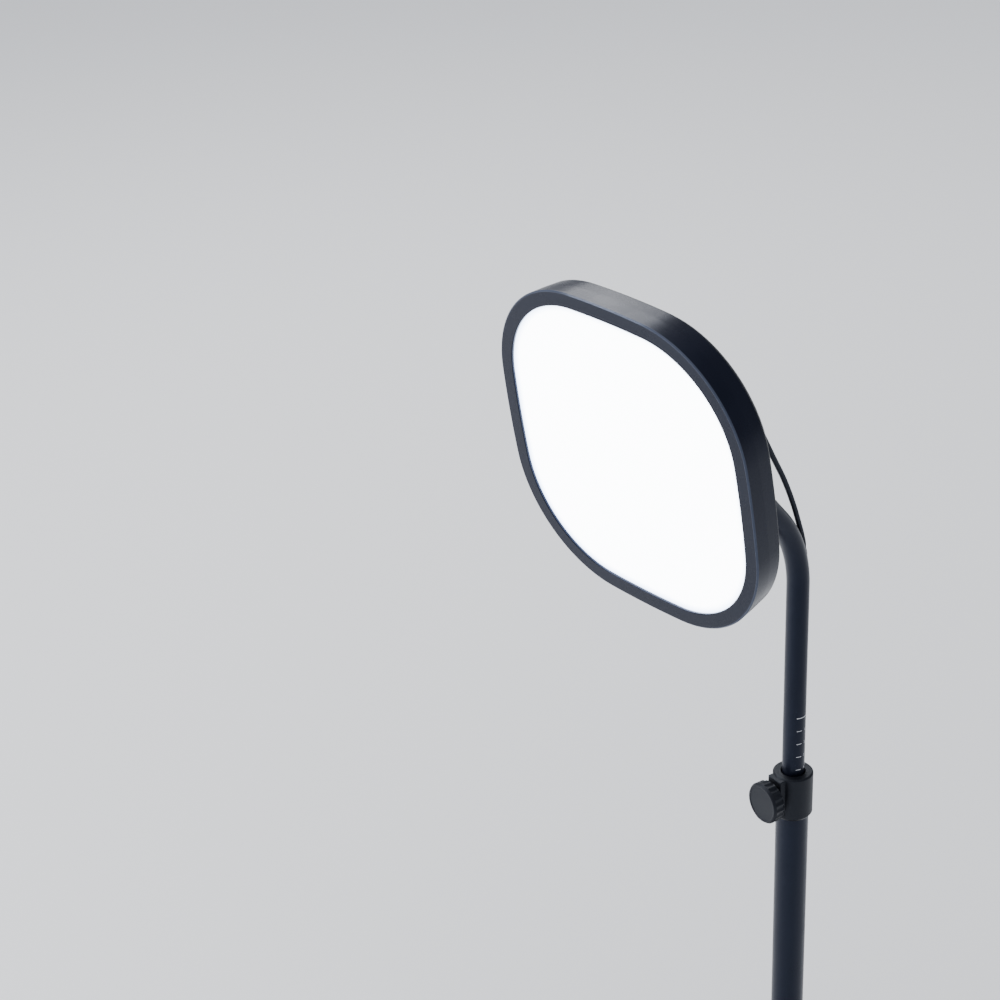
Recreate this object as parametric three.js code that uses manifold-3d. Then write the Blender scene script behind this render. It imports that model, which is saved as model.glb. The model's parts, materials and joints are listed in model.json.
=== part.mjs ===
// A desk panel light: a rounded square, edge-lit LED panel on a ball head, carried by a
// telescopic pole with a forward bend, a side clamp and a heavy round base.
// Millimetres, +Z up, origin under the middle of the base. The panel faces -Y.
import * as THREE from 'three';
import { mergeVertices } from 'three/addons/utils/BufferGeometryUtils.js';
import Module from 'manifold-3d';

const wasm = await Module();
wasm.setup();

// ---- driving dimensions -------------------------------------------------------------
const GAP = 0.3; // air between two pieces that touch

// Panel outline: four shallow side arcs joined by four corner arcs.
const PANEL_HALF = 103;
const SIDE_RADIUS = 620;
const CORNER_RADIUS = 76;
const BEZEL_WIDTH = 10; // from the outer edge to the opening
const FRAME_PROUD = 1.7; // the bezel's face stands this far in front of z = 0
const RIM_REAR = -18.6; // where the rim's side ends
const RIM_DRAFT = 2.5; // the rim's side leans in this far towards the back
const BACK_FACE = -22.5;
const WALL = 2;

const PANEL_CENTRE = [0, -148.8, 598.7];
const PANEL_PITCH = 9.26; // degrees that the panel looks down

// Ball head.
const BALL_RADIUS = 8;
const BALL_TO_BACK = 28; // from the ball's centre to the panel's back face
const STEM_RADIUS = 4;
const HOUSING_RADIUS = 12.5;

// Pole.
const UPPER_RADIUS = 7.5;
const UPPER_BORE = 6;
const LOWER_RADIUS = 11;
const LOWER_BORE = 9.5;
const UPPER_BOTTOM = 112;
const BEND_START = 458;
const BEND_RADIUS = 85;
const BEND_TURN = 40; // degrees that the pole leans forward above its bend
const POLE_END = 30; // from the tube's upper end to the ball's centre

// Clamp.
const COLLAR_TOP = 318;
const COLLAR_BOTTOM = 285;
const COLLAR_RADIUS = 13.5;
const CLAMP_HEIGHT = 301.5; // height of the knob's axis
const CLAMP_YAW = -7; // degrees that the knob's axis is turned from -Y
const LUG_WIDTH = 13;
const LUG_FACE = 16.2;
const LUG_TOP = 15.5; // from the knob axis up
const LUG_BOTTOM = -13.4; // from the knob axis down
const KNOB_RADIUS = 14.3;
const KNOB_FACE = 26.7; // from the pole's axis to the knob's face

// Base.
const BASE_RADIUS = 92;
const PAD_THICKNESS = 2;
const BASE_TOP = 14.1;
const BASE_SIDES = 36;
const INLET_HEIGHT = 34;

// Lead.
const LEAD_RADIUS = 1.8;
const JACK_HEIGHT = 35; // the jack sits this far above the panel's centre
const LEAD_END = 46.8; // from z = 0 of the panel to where the lead leaves its plug
// The lead's route in the plane x = 0, as [y, z], from its plug into the pole.
const LEAD_ROUTE = [
  [-108.2, 640.8], [-97, 641.6], [-82, 637], [-66, 624], [-51, 604], [-38, 581.5],
  [-25.8, 558.8], [-15.2, 539.2], [-6.5, 519.4], [0.4, 499.9], [2.5, 493.3], [3.9, 487],
  [3.7, 481], [1.9, 475], [0.3, 467], [0, 455], [0, 400], [0, 300], [0, 200], [0, 112.6],
];
const LEAD_SPLIT = 0.362; // the share of the route that lies outside the pole

const degrees = THREE.MathUtils.degToRad;
const SIDES = 20;

// ---- finishes -----------------------------------------------------------------------
const finish = (color, roughness, metalness) => new THREE.MeshStandardMaterial({
  color, roughness, metalness,
});
const blackPaint = () => finish(0x14161c, 0.42, 0.3);
const blackPlastic = () => finish(0x121317, 0.55, 0);
const blackRubber = () => finish(0x0d0d0e, 0.85, 0);
const steel = () => finish(0x9a9da2, 0.35, 1);
const brass = () => finish(0xb08d4a, 0.35, 1);
const aluminium = () => finish(0xb9bcc0, 0.4, 1);
const nylon = () => finish(0xd8d6cc, 0.5, 0);
const opal = () => finish(0xf6f8ff, 0.35, 0);
const circuitGreen = () => finish(0x14472c, 0.5, 0);

// ---- solids -------------------------------------------------------------------------
function plain(geometry) {
  geometry.deleteAttribute('normal');
  geometry.deleteAttribute('uv');
  return mergeVertices(geometry, 1e-4);
}

function toSolid(geometry) {
  const mesh = plain(geometry.clone());
  return new wasm.Manifold(new wasm.Mesh({
    numProp: 3,
    vertProperties: new Float32Array(mesh.attributes.position.array),
    triVerts: new Uint32Array(mesh.index.array),
  }));
}

function toGeometry(solid) {
  const { vertProperties, triVerts } = solid.getMesh();
  const geometry = new THREE.BufferGeometry();
  geometry.setAttribute('position', new THREE.BufferAttribute(vertProperties, 3));
  geometry.setIndex(new THREE.BufferAttribute(triVerts, 1));
  return geometry;
}

function cut(body, ...tools) {
  return toGeometry(tools.reduce((solid, tool) => solid.subtract(toSolid(tool)), toSolid(body)));
}

function join(body, ...others) {
  return toGeometry(others.reduce((solid, other) => solid.add(toSolid(other)), toSolid(body)));
}

function overlapOf(body, other) {
  return toGeometry(toSolid(body).intersect(toSolid(other)));
}

// Turns every face outwards, whichever way round the outline was given.
function facingOut(source) {
  const geometry = plain(source);
  const { array } = geometry.index;
  const corner = (k) => new THREE.Vector3().fromBufferAttribute(geometry.attributes.position, k);
  let volume = 0;
  for (let i = 0; i < array.length; i += 3) {
    volume += corner(array[i]).dot(corner(array[i + 1]).cross(corner(array[i + 2])));
  }
  if (volume < 0) {
    array.reverse();
  }
  return geometry;
}

// A solid of revolution about Z from [radius, z] points. A profile that starts off the axis
// closes on itself.
function turned(profile, sides = SIDES) {
  const loop = profile[0][0] > 0 ? [...profile, profile[0]] : profile;
  const points = loop.map(([radius, z]) => new THREE.Vector2(radius, z));
  return facingOut(new THREE.LatheGeometry(points, sides).rotateX(Math.PI / 2));
}

function rod(radius, low, high, sides = SIDES) {
  return turned([[0, low], [radius, low], [radius, high], [0, high]], sides);
}

function pipe(outer, inner, low, high, sides = SIDES) {
  return turned([[outer, low], [outer, high], [inner, high], [inner, low]], sides);
}

function block(x, y, z) {
  const size = [x, y, z].map(([low, high]) => high - low);
  const middle = [x, y, z].map(([low, high]) => (low + high) / 2);
  return new THREE.BoxGeometry(...size).translate(...middle);
}

const alongX = (geometry) => geometry.rotateY(Math.PI / 2);
const alongY = (geometry) => geometry.rotateX(-Math.PI / 2);

function polygon(radius, sides) {
  const corners = Array.from({ length: sides }, (_, k) => (2 * Math.PI * k) / sides);
  return new THREE.Shape(corners.map((turn) => (
    new THREE.Vector2(radius * Math.cos(turn), radius * Math.sin(turn))
  )));
}

// ---- panel outline ------------------------------------------------------------------
const SIDE_CENTRE = PANEL_HALF - SIDE_RADIUS;
const CORNER_CENTRE = (SIDE_CENTRE + Math.sqrt(
  2 * (SIDE_RADIUS - CORNER_RADIUS) ** 2 - SIDE_CENTRE ** 2,
)) / 2;
const SIDE_TURN = Math.atan2(CORNER_CENTRE, CORNER_CENTRE - SIDE_CENTRE);
const QUARTER = Math.PI / 2;

// The point of the outline whose outward direction is `turn`, moved in by `inset`.
function outlinePoint(turn, inset) {
  const side = Math.round(turn / QUARTER) * QUARTER;
  const onSide = Math.abs(turn - side) <= SIDE_TURN + 1e-9;
  const diagonal = (Math.floor(turn / QUARTER) + 0.5) * QUARTER;
  const centre = onSide ? SIDE_CENTRE : CORNER_CENTRE * Math.SQRT2;
  const towards = onSide ? side : diagonal;
  const radius = (onSide ? SIDE_RADIUS : CORNER_RADIUS) - inset;
  return new THREE.Vector2(
    centre * Math.cos(towards) + radius * Math.cos(turn),
    centre * Math.sin(towards) + radius * Math.sin(turn),
  );
}

const SIDE_STEPS = 2;
const CORNER_STEPS = 9;

// Directions round the outline, with few steps on its sides and more round its corners.
function outlineTurns() {
  const turns = [];
  for (let side = 0; side < 4; side += 1) {
    const middle = side * QUARTER;
    for (let k = 0; k < SIDE_STEPS; k += 1) {
      turns.push(middle - SIDE_TURN + (2 * SIDE_TURN * k) / SIDE_STEPS);
    }
    for (let k = 0; k < CORNER_STEPS; k += 1) {
      turns.push(middle + SIDE_TURN + ((QUARTER - 2 * SIDE_TURN) * k) / CORNER_STEPS);
    }
  }
  return turns;
}

// Sweeps a closed [inset, z] profile along the outline, all the way round or over a stretch.
function sweptProfile(profile, turns, closed) {
  const count = profile.length;
  const positions = turns.flatMap((turn) => profile.flatMap(([inset, z]) => {
    const point = outlinePoint(turn, inset);
    return [point.x, point.y, z];
  }));
  const index = [];
  const spans = closed ? turns.length : turns.length - 1;
  for (let span = 0; span < spans; span += 1) {
    const here = span * count;
    const there = ((span + 1) % turns.length) * count;
    for (let k = 0; k < count; k += 1) {
      const next = (k + 1) % count;
      index.push(here + k, here + next, there + next, here + k, there + next, there + k);
    }
  }
  if (!closed) {
    const last = (turns.length - 1) * count;
    const corners = profile.map(([inset, z]) => new THREE.Vector2(inset, z));
    for (const [a, b, c] of THREE.ShapeUtils.triangulateShape(corners, [])) {
      index.push(a, b, c, last + a, last + c, last + b);
    }
  }
  const geometry = new THREE.BufferGeometry();
  geometry.setAttribute('position', new THREE.Float32BufferAttribute(positions, 3));
  geometry.setIndex(index);
  return facingOut(geometry);
}

function plate(inset, low, high) {
  const shape = new THREE.Shape(outlineTurns().map((turn) => outlinePoint(turn, inset)));
  const geometry = new THREE.ExtrudeGeometry(shape, { depth: high - low, bevelEnabled: false });
  return geometry.translate(0, 0, low);
}

// ---- curves -------------------------------------------------------------------------
// The pole's centre line: straight, an arc that leans forward, and straight again. Equal
// steps of t are one step for each straight and BEND_STEPS for the arc.
const BEND_STEPS = 8;
const bendTurn = degrees(BEND_TURN);
const leanForward = new THREE.Vector3(0, -Math.sin(bendTurn), Math.cos(bendTurn));
const bendEnd = new THREE.Vector3(
  0,
  -BEND_RADIUS * (1 - Math.cos(bendTurn)),
  BEND_START + BEND_RADIUS * Math.sin(bendTurn),
);

class PoleLine extends THREE.Curve {
  constructor(bottom, straight) {
    super();
    this.bottom = bottom;
    this.straight = straight;
  }

  getPoint(t) {
    const step = t * (BEND_STEPS + 2);
    if (step <= 1) {
      return new THREE.Vector3(0, 0, THREE.MathUtils.lerp(this.bottom, BEND_START, step));
    }
    if (step >= BEND_STEPS + 1) {
      const along = this.straight * (step - BEND_STEPS - 1);
      return bendEnd.clone().addScaledVector(leanForward, along);
    }
    const turn = (bendTurn * (step - 1)) / BEND_STEPS;
    return new THREE.Vector3(
      0,
      -BEND_RADIUS * (1 - Math.cos(turn)),
      BEND_START + BEND_RADIUS * Math.sin(turn),
    );
  }

  getUtoTmapping(u) {
    return u;
  }
}

// A stretch of another curve, between two shares of its length.
class CurveStretch extends THREE.Curve {
  constructor(curve, from, to) {
    super();
    this.curve = curve;
    this.from = from;
    this.to = to;
  }

  getPoint(t) {
    return this.curve.getPointAt(THREE.MathUtils.lerp(this.from, this.to, t));
  }
}

function swept(shape, curve, steps) {
  const options = { steps, extrudePath: curve, bevelEnabled: false };
  return facingOut(new THREE.ExtrudeGeometry(shape, options));
}

// ---- placing ------------------------------------------------------------------------
const light = new THREE.Group();

function group(parent, position, rotation) {
  const made = new THREE.Group();
  made.position.set(...position);
  made.rotation.set(...rotation.map(degrees));
  parent.add(made);
  return made;
}

function piece(parent, name, geometry, material) {
  const mesh = new THREE.Mesh(geometry, material);
  mesh.name = name;
  parent.add(mesh);
}

const panel = group(light, PANEL_CENTRE, [90 + PANEL_PITCH, 0, 0]);
const ballDepth = BACK_FACE - BALL_TO_BACK; // the ball's centre in the panel's own frame
panel.updateMatrixWorld();
const ballCentre = new THREE.Vector3(0, 0, ballDepth).applyMatrix4(panel.matrixWorld);
const head = group(light, ballCentre.toArray(), [BEND_TURN, 0, 0]);
const clamp = group(light, [0, 0, CLAMP_HEIGHT], [0, 0, CLAMP_YAW]);

// ---- base ---------------------------------------------------------------------------
const WEIGHT_LOW = PAD_THICKNESS + GAP;
const COVER_WALL = 1.3;
const WEIGHT_TOP = BASE_TOP - COVER_WALL - GAP;
const BOLT_RADIUS = 4;
const BOLT_WELL = 9; // radius of the well for the bolt's head
const BOLT_WELL_TOP = 8.3;
const SOCKET_RADIUS = 21;
const SOCKET_FLANGE = 4;
const SPIGOT_TOP = 28;

function rubberPad() {
  return turned([[0, 0], [87, 0], [88, 1], [88, PAD_THICKNESS], [0, PAD_THICKNESS]], BASE_SIDES);
}

function baseWeight() {
  const radius = BASE_RADIUS - COVER_WALL - GAP;
  return turned([
    [BOLT_WELL, WEIGHT_LOW], [radius, WEIGHT_LOW], [radius, 8], [radius - 3.5, WEIGHT_TOP],
    [BOLT_RADIUS + GAP, WEIGHT_TOP], [BOLT_RADIUS + GAP, BOLT_WELL_TOP], [BOLT_WELL, BOLT_WELL_TOP],
  ], BASE_SIDES);
}

function baseCover() {
  const inner = BASE_RADIUS - COVER_WALL;
  const under = BASE_TOP - COVER_WALL;
  return turned([
    [inner, WEIGHT_LOW], [BASE_RADIUS, WEIGHT_LOW], [BASE_RADIUS, 9.5], [BASE_RADIUS - 1.4, 12.6],
    [BASE_RADIUS - 4.5, BASE_TOP], [BOLT_RADIUS + GAP, BASE_TOP], [BOLT_RADIUS + GAP, under],
    [inner - 3.6, under], [inner, 8.4],
  ], BASE_SIDES);
}

function poleSocket() {
  const low = BASE_TOP + GAP;
  const flangeTop = low + SOCKET_FLANGE;
  const spigot = LOWER_BORE - GAP;
  return turned([
    [BOLT_RADIUS + GAP, low], [SOCKET_RADIUS, low], [SOCKET_RADIUS, low + 2.4],
    [SOCKET_RADIUS - 1.6, flangeTop], [spigot, flangeTop], [spigot, SPIGOT_TOP],
    [BOLT_RADIUS + GAP, SPIGOT_TOP],
  ]);
}

function baseBolt() {
  return turned([
    [0, 2.7], [6.5, 2.7], [6.5, 6.3], [BOLT_RADIUS, 6.3], [BOLT_RADIUS, 27], [0, 27],
  ]);
}

piece(light, 'rubber_pad', rubberPad(), blackRubber());
piece(light, 'base_weight', baseWeight(), steel());
piece(light, 'base_cover', baseCover(), blackPaint());
piece(light, 'pole_socket', poleSocket(), blackPaint());
piece(light, 'base_bolt', baseBolt(), steel());
piece(light, 'base_washer', pipe(8.4, BOLT_RADIUS + GAP, 6.6, 8), steel());

// ---- lower tube and what it holds ---------------------------------------------------
const LOWER_BOTTOM = BASE_TOP + SOCKET_FLANGE + 2 * GAP;
const LOWER_TOP = 314;
const SCREW_RADIUS = 2.9;
const INLET_RADIUS = 4;
const BUSH_LENGTH = 20;

function lowerTube() {
  const screwHole = alongY(rod(SCREW_RADIUS + 0.4, 0, 14, 16)).rotateZ(Math.PI);
  const inletHole = alongY(rod(INLET_RADIUS + GAP, 0, 14, 16));
  return cut(
    pipe(LOWER_RADIUS, LOWER_BORE, LOWER_BOTTOM, LOWER_TOP),
    screwHole.rotateZ(degrees(CLAMP_YAW)).translate(0, 0, CLAMP_HEIGHT),
    inletHole.translate(0, 0, INLET_HEIGHT),
  );
}

function dcInlet() {
  const body = turned([
    [0, -3], [INLET_RADIUS, -3], [INLET_RADIUS, 16.5], [2.8, 16.5], [2.8, 7], [0, 7],
  ], 16);
  return alongY(body).translate(0, 0, INLET_HEIGHT);
}

function inletNut() {
  const hexagon = rod(6.6, LOWER_RADIUS + GAP, LOWER_RADIUS + 3, 6);
  const nut = cut(hexagon, rod(INLET_RADIUS + GAP, LOWER_RADIUS, LOWER_RADIUS + 4, 16));
  return alongY(nut).translate(0, 0, INLET_HEIGHT);
}

// A nylon sleeve on the upper tube's lower end, with a lip that the tube stands on.
function poleGuideBush() {
  const outer = LOWER_BORE - GAP;
  const inner = UPPER_RADIUS + GAP;
  const lip = UPPER_BOTTOM - GAP;
  return turned([
    [4.6, lip - 2], [outer, lip - 2], [outer, lip + BUSH_LENGTH], [inner, lip + BUSH_LENGTH],
    [inner, lip], [4.6, lip],
  ]);
}

// The outside of the curly lead that follows the pole up and down.
function coilLead() {
  return pipe(8.6, 4.2, 42, UPPER_BOTTOM - 2.6, 16);
}

piece(light, 'lower_tube', lowerTube(), blackPaint());
piece(light, 'dc_inlet', dcInlet(), blackPlastic());
piece(light, 'inlet_nut', inletNut(), steel());
piece(light, 'pole_guide_bush', poleGuideBush(), nylon());
piece(light, 'coil_lead', coilLead(), blackRubber());

// ---- clamp --------------------------------------------------------------------------
// In the clamp's frame the knob's axis runs along -Y and z = 0 is at its height.
function clampCollar() {
  const top = COLLAR_TOP - CLAMP_HEIGHT;
  const bottom = COLLAR_BOTTOM - CLAMP_HEIGHT;
  const seat = LOWER_TOP + GAP - CLAMP_HEIGHT;
  const ring = turned([
    [LOWER_RADIUS + GAP, bottom], [COLLAR_RADIUS - 1.4, bottom], [COLLAR_RADIUS, bottom + 2.2],
    [COLLAR_RADIUS, top - 1], [COLLAR_RADIUS - 1, top], [UPPER_RADIUS + 0.5, top],
    [UPPER_RADIUS + 0.5, seat], [LOWER_RADIUS + GAP, seat],
  ]);
  const half = LUG_WIDTH / 2;
  const lug = block([-half, half], [-LUG_FACE, -11.8], [LUG_BOTTOM, LUG_TOP]);
  const screwHole = alongY(rod(SCREW_RADIUS + GAP, -20, -8, 16));
  return cut(join(ring, lug), screwHole);
}

// A nylon sleeve inside the lower tube's mouth that the upper tube runs in.
function collarLiner() {
  const top = LOWER_TOP - CLAMP_HEIGHT - GAP;
  const sleeve = pipe(LOWER_BORE - GAP, UPPER_RADIUS + 0.25, -14, top);
  return cut(sleeve, alongY(rod(SCREW_RADIUS + GAP, -12, -5, 16)));
}

function clampKnob() {
  const back = LUG_FACE + GAP + 0.5;
  return alongY(turned([
    [SCREW_RADIUS + GAP, -back], [6.5, -back], [6.5, -back - 0.9], [KNOB_RADIUS - 1, -back - 0.9],
    [KNOB_RADIUS, -back - 1.9], [KNOB_RADIUS, 1.2 - KNOB_FACE], [KNOB_RADIUS - 1.2, -KNOB_FACE],
    [0, -KNOB_FACE], [0, 3.2 - KNOB_FACE], [SCREW_RADIUS + GAP, 3.2 - KNOB_FACE],
  ].reverse(), 32));
}

piece(clamp, 'clamp_collar', clampCollar(), blackPlastic());
piece(clamp, 'collar_liner', collarLiner(), nylon());
piece(clamp, 'brake_shoe', alongY(rod(SCREW_RADIUS, -9.5, -7.9, 16)), nylon());
piece(clamp, 'clamp_screw', alongY(rod(SCREW_RADIUS, 3.5 - KNOB_FACE, -9.8, 16)), steel());
piece(clamp, 'clamp_knob', clampKnob(), blackPlastic());

// ---- upper tube and its lead --------------------------------------------------------
const endOfBend = bendEnd.distanceTo(ballCentre) - POLE_END;
const leadRoute = new THREE.CatmullRomCurve3(
  LEAD_ROUTE.map(([y, z]) => new THREE.Vector3(0, y, z)),
  false,
  'centripetal',
);
const LEAD_SIDES = 8;
const leadTube = (from, to, radius, steps) => swept(
  polygon(radius, LEAD_SIDES),
  new CurveStretch(leadRoute, from, to),
  steps,
);
const HOLE_FROM = 0.334;
const HOLE_TO = 0.384;

function upperTube() {
  const shape = polygon(UPPER_RADIUS, SIDES);
  shape.holes.push(polygon(UPPER_BORE, SIDES));
  const tube = swept(shape, new PoleLine(UPPER_BOTTOM, endOfBend), BEND_STEPS + 2);
  return cut(tube, leadTube(HOLE_FROM, HOLE_TO, 3.2, 16));
}

// The rubber ring in the slanting hole where the lead goes into the back of the bend.
function leadGrommet() {
  const band = (radius) => swept(polygon(radius, SIDES), new PoleLine(460, 2), BEND_STEPS + 2);
  const plug = overlapOf(leadTube(HOLE_FROM, HOLE_TO, 2.9, 16), band(UPPER_RADIUS + 0.8));
  return cut(plug, band(UPPER_BORE + 0.3), leadTube(HOLE_FROM - 0.01, HOLE_TO + 0.01, 2.1, 16));
}

function poleEndStud() {
  const end = -POLE_END;
  return turned([
    [0, end - 14], [UPPER_BORE - GAP, end - 14], [UPPER_BORE - GAP, end + GAP],
    [UPPER_RADIUS, end + GAP], [UPPER_RADIUS, end + 2.2], [3, end + 2.2], [3, end + 11],
    [0, end + 11],
  ]);
}

piece(light, 'upper_tube', upperTube(), blackPaint());
piece(light, 'lead_grommet', leadGrommet(), blackRubber());
piece(light, 'power_lead', leadTube(0, LEAD_SPLIT, LEAD_RADIUS, 32), blackRubber());
piece(light, 'inner_lead', leadTube(LEAD_SPLIT + 0.001, 1, LEAD_RADIUS, 24), blackRubber());
piece(head, 'pole_end_stud', poleEndStud(), steel());

// ---- ball head ----------------------------------------------------------------------
// In the head's frame z runs up the pole's end and the ball's centre is the origin.
const HOUSING_LOW = 2.5 - POLE_END;
const HOUSING_TOP = 3.5;
const LOCK_HEIGHT = -8;
const LOCK_SCREW_RADIUS = 2.5;
const WHEEL_RADIUS = 12;

function ballHousing() {
  const body = turned([
    [0, HOUSING_LOW], [9.5, HOUSING_LOW], [HOUSING_RADIUS, HOUSING_LOW + 6],
    [HOUSING_RADIUS, HOUSING_TOP - 1.5], [HOUSING_RADIUS - 1.5, HOUSING_TOP], [0, HOUSING_TOP],
  ]);
  const slot = block([-4.7, 4.7], [-14, 0], [-4.8, 5]);
  return cut(
    body,
    new THREE.SphereGeometry(BALL_RADIUS + 0.4, SIDES, 12).rotateX(Math.PI / 2),
    rod(BALL_RADIUS + 0.6, -13, -2),
    rod(3 + GAP, HOUSING_LOW - 1, -18, 16),
    slot,
    alongX(rod(LOCK_SCREW_RADIUS + GAP, 5, 16, 16)).translate(0, 0, LOCK_HEIGHT),
  );
}

function ballSeat() {
  return cut(
    rod(BALL_RADIUS + 0.3, -12.7, -5.2),
    new THREE.SphereGeometry(BALL_RADIUS + GAP, SIDES, 12).rotateX(Math.PI / 2),
  );
}

function ballStud() {
  const ball = new THREE.SphereGeometry(BALL_RADIUS, SIDES, 12).rotateX(Math.PI / 2);
  const stem = turned([
    [0, 2], [STEM_RADIUS, 2], [STEM_RADIUS, 19.5], [3.1, 20.5], [3.1, 36], [0, 36],
  ], 16);
  return join(ball, stem);
}

// A five-lobed knob, turned about the lock screw.
function ballLockKnob() {
  const turns = Array.from({ length: 40 }, (_, k) => (2 * Math.PI * k) / 40);
  const shape = new THREE.Shape(turns.map((turn) => {
    const radius = 8.3 + 0.9 * Math.cos(5 * turn);
    return new THREE.Vector2(radius * Math.cos(turn), radius * Math.sin(turn));
  }));
  const body = new THREE.ExtrudeGeometry(shape, { depth: 9, bevelEnabled: false });
  const hub = rod(4.2, -1.5, 1, 16);
  const hole = rod(LOCK_SCREW_RADIUS + GAP, -2, 6, 16);
  return alongX(cut(join(body, hub), hole)).translate(HOUSING_RADIUS + 2.2, 0, LOCK_HEIGHT);
}

function ballLockScrew() {
  const screw = rod(LOCK_SCREW_RADIUS, BALL_RADIUS + 0.7, HOUSING_RADIUS + 7.8, 16);
  return alongX(screw).translate(0, 0, LOCK_HEIGHT);
}

piece(head, 'ball_housing', ballHousing(), blackPaint());
piece(head, 'ball_seat', ballSeat(), nylon());
piece(head, 'ball_lock_knob', ballLockKnob(), blackPlastic());
piece(head, 'ball_lock_screw', ballLockScrew(), steel());
const stud = group(panel, [0, 0, ballDepth], [0, 0, 0]);
piece(stud, 'ball_stud', ballStud(), steel());
piece(stud, 'lock_wheel', pipe(WHEEL_RADIUS, 3.5, 21, BALL_TO_BACK - 1, 32), blackPlastic());

// ---- panel: frame and optics --------------------------------------------------------
const FRAME_INNER = RIM_DRAFT + WALL - 0.1;
const DIFFUSER_FRONT = -GAP;
const DIFFUSER_REAR = -2.3;
const FILM_REAR = -2.9;
const GUIDE_REAR = -6.2;
const SHEET_REAR = -6.8;
const CHASSIS_FRONT = -7.1;
const CHASSIS_REAR = -9.1;
const LED_COUNT = 8;
const LED_REACH = degrees(26); // how far each strip turns round the corners beside it

function frontFrame() {
  return sweptProfile([
    [0.8, FRAME_PROUD], [0, FRAME_PROUD - 0.8], [RIM_DRAFT, RIM_REAR], [FRAME_INNER, RIM_REAR],
    [WALL + 0.4, 0], [BEZEL_WIDTH, 0], [BEZEL_WIDTH, FRAME_PROUD - 0.6],
    [BEZEL_WIDTH - 0.6, FRAME_PROUD],
  ], outlineTurns(), true);
}

// A flexible strip against the light guide's edge, with its LEDs facing inwards.
function ledStrip(side) {
  const middle = side * QUARTER;
  const stretch = (from, to, steps) => Array.from({ length: steps + 1 }, (_, k) => (
    middle + THREE.MathUtils.lerp(from, to, k / steps)
  ));
  const bar = (low, high, top, bottom, turns) => sweptProfile(
    [[low, top], [high, top], [high, bottom], [low, bottom]],
    turns,
    false,
  );
  const strip = bar(5.6, 6.3, -3, -6.4, stretch(-LED_REACH, LED_REACH, 8));
  const chips = Array.from({ length: LED_COUNT }, (_, k) => {
    const at = LED_REACH * ((2 * k + 1) / LED_COUNT - 1);
    const half = Math.abs(at) < SIDE_TURN ? 0.003 : 0.022;
    return bar(6.2, 7.2, -3.4, -5.9, stretch(at - half, at + half, 1));
  });
  return join(strip, ...chips);
}

piece(panel, 'front_frame', frontFrame(), blackPaint());
piece(panel, 'diffuser_plate', plate(6, DIFFUSER_REAR, DIFFUSER_FRONT), opal());
piece(panel, 'diffuser_film', plate(6.6, FILM_REAR, DIFFUSER_REAR - GAP), opal());
piece(panel, 'light_guide_plate', plate(7.6, GUIDE_REAR, FILM_REAR - GAP), opal());
piece(panel, 'reflector_sheet', plate(6.6, SHEET_REAR, GUIDE_REAR - GAP), opal());
for (let side = 0; side < 4; side += 1) {
  piece(panel, `led_strip_${side + 1}`, ledStrip(side), nylon());
}

// ---- panel: chassis, boards and back ------------------------------------------------
const BACK_INSIDE = BACK_FACE + WALL;
const REAR_SCREWS = [[58, 58], [-58, 58], [-58, -58], [58, -58]];
const CONTROL_SCREWS = [[-60, -26], [-18, 20]];
const DRIVER_SCREWS = [[60, -26], [18, 20]];
const BOARD_FRONT = -12.2;
const BOARD_REAR = -13.8;
const ROCKER_AT = [-34, 42];
const BUTTON_AT = [-34, 12];
const at = (geometry, [x, y]) => geometry.translate(x, y, 0);

function chassisPlate() {
  const body = plate(6.6, CHASSIS_REAR, CHASSIS_FRONT);
  const posts = [...CONTROL_SCREWS, ...DRIVER_SCREWS].map((spot) => (
    at(rod(2.6, BOARD_FRONT + GAP, CHASSIS_REAR + 0.5, 12), spot)
  ));
  const holes = [...CONTROL_SCREWS, ...DRIVER_SCREWS].map((spot) => (
    at(rod(1.3, BOARD_FRONT - 1, CHASSIS_FRONT - 0.6, 12), spot)
  ));
  const screwHoles = REAR_SCREWS.map((spot) => at(rod(1.7, -12, -5, 12), spot));
  return cut(join(body, ...posts), ...holes, ...screwHoles);
}

function board(x, y, screws) {
  const holes = screws.map((spot) => at(rod(1.3, -16, -10, 12), spot));
  return cut(block(x, y, [BOARD_REAR, BOARD_FRONT]), ...holes);
}

function boardScrew() {
  const head = BOARD_REAR - GAP;
  return turned([
    [0, head - 1.3], [2.2, head - 1.3], [2.2, head], [1, head], [1, -9], [0, -9],
  ], 12);
}

function rearScrew() {
  return turned([
    [0, -22.3], [2.7, -22.3], [1.35, -20.9], [1.35, -7.2], [0, -7.2],
  ], 12);
}

// A brass bush with a wide foot behind the chassis plate, which the ball's stud screws into.
function mountInsert() {
  return turned([
    [0, -9.4], [9, -9.4], [9, -12.4], [5, -12.4], [5, -22.2], [3.5, -22.2], [3.5, -13.4],
    [0, -13.4],
  ]);
}

function ventSlots() {
  const slots = [];
  for (const row of [-62, 62]) {
    for (let k = -2; k <= 2; k += 1) {
      slots.push(block([k * 8 - 1.5, k * 8 + 1.5], [row - 8, row + 8], [-24, -20]));
    }
  }
  return slots;
}

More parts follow.
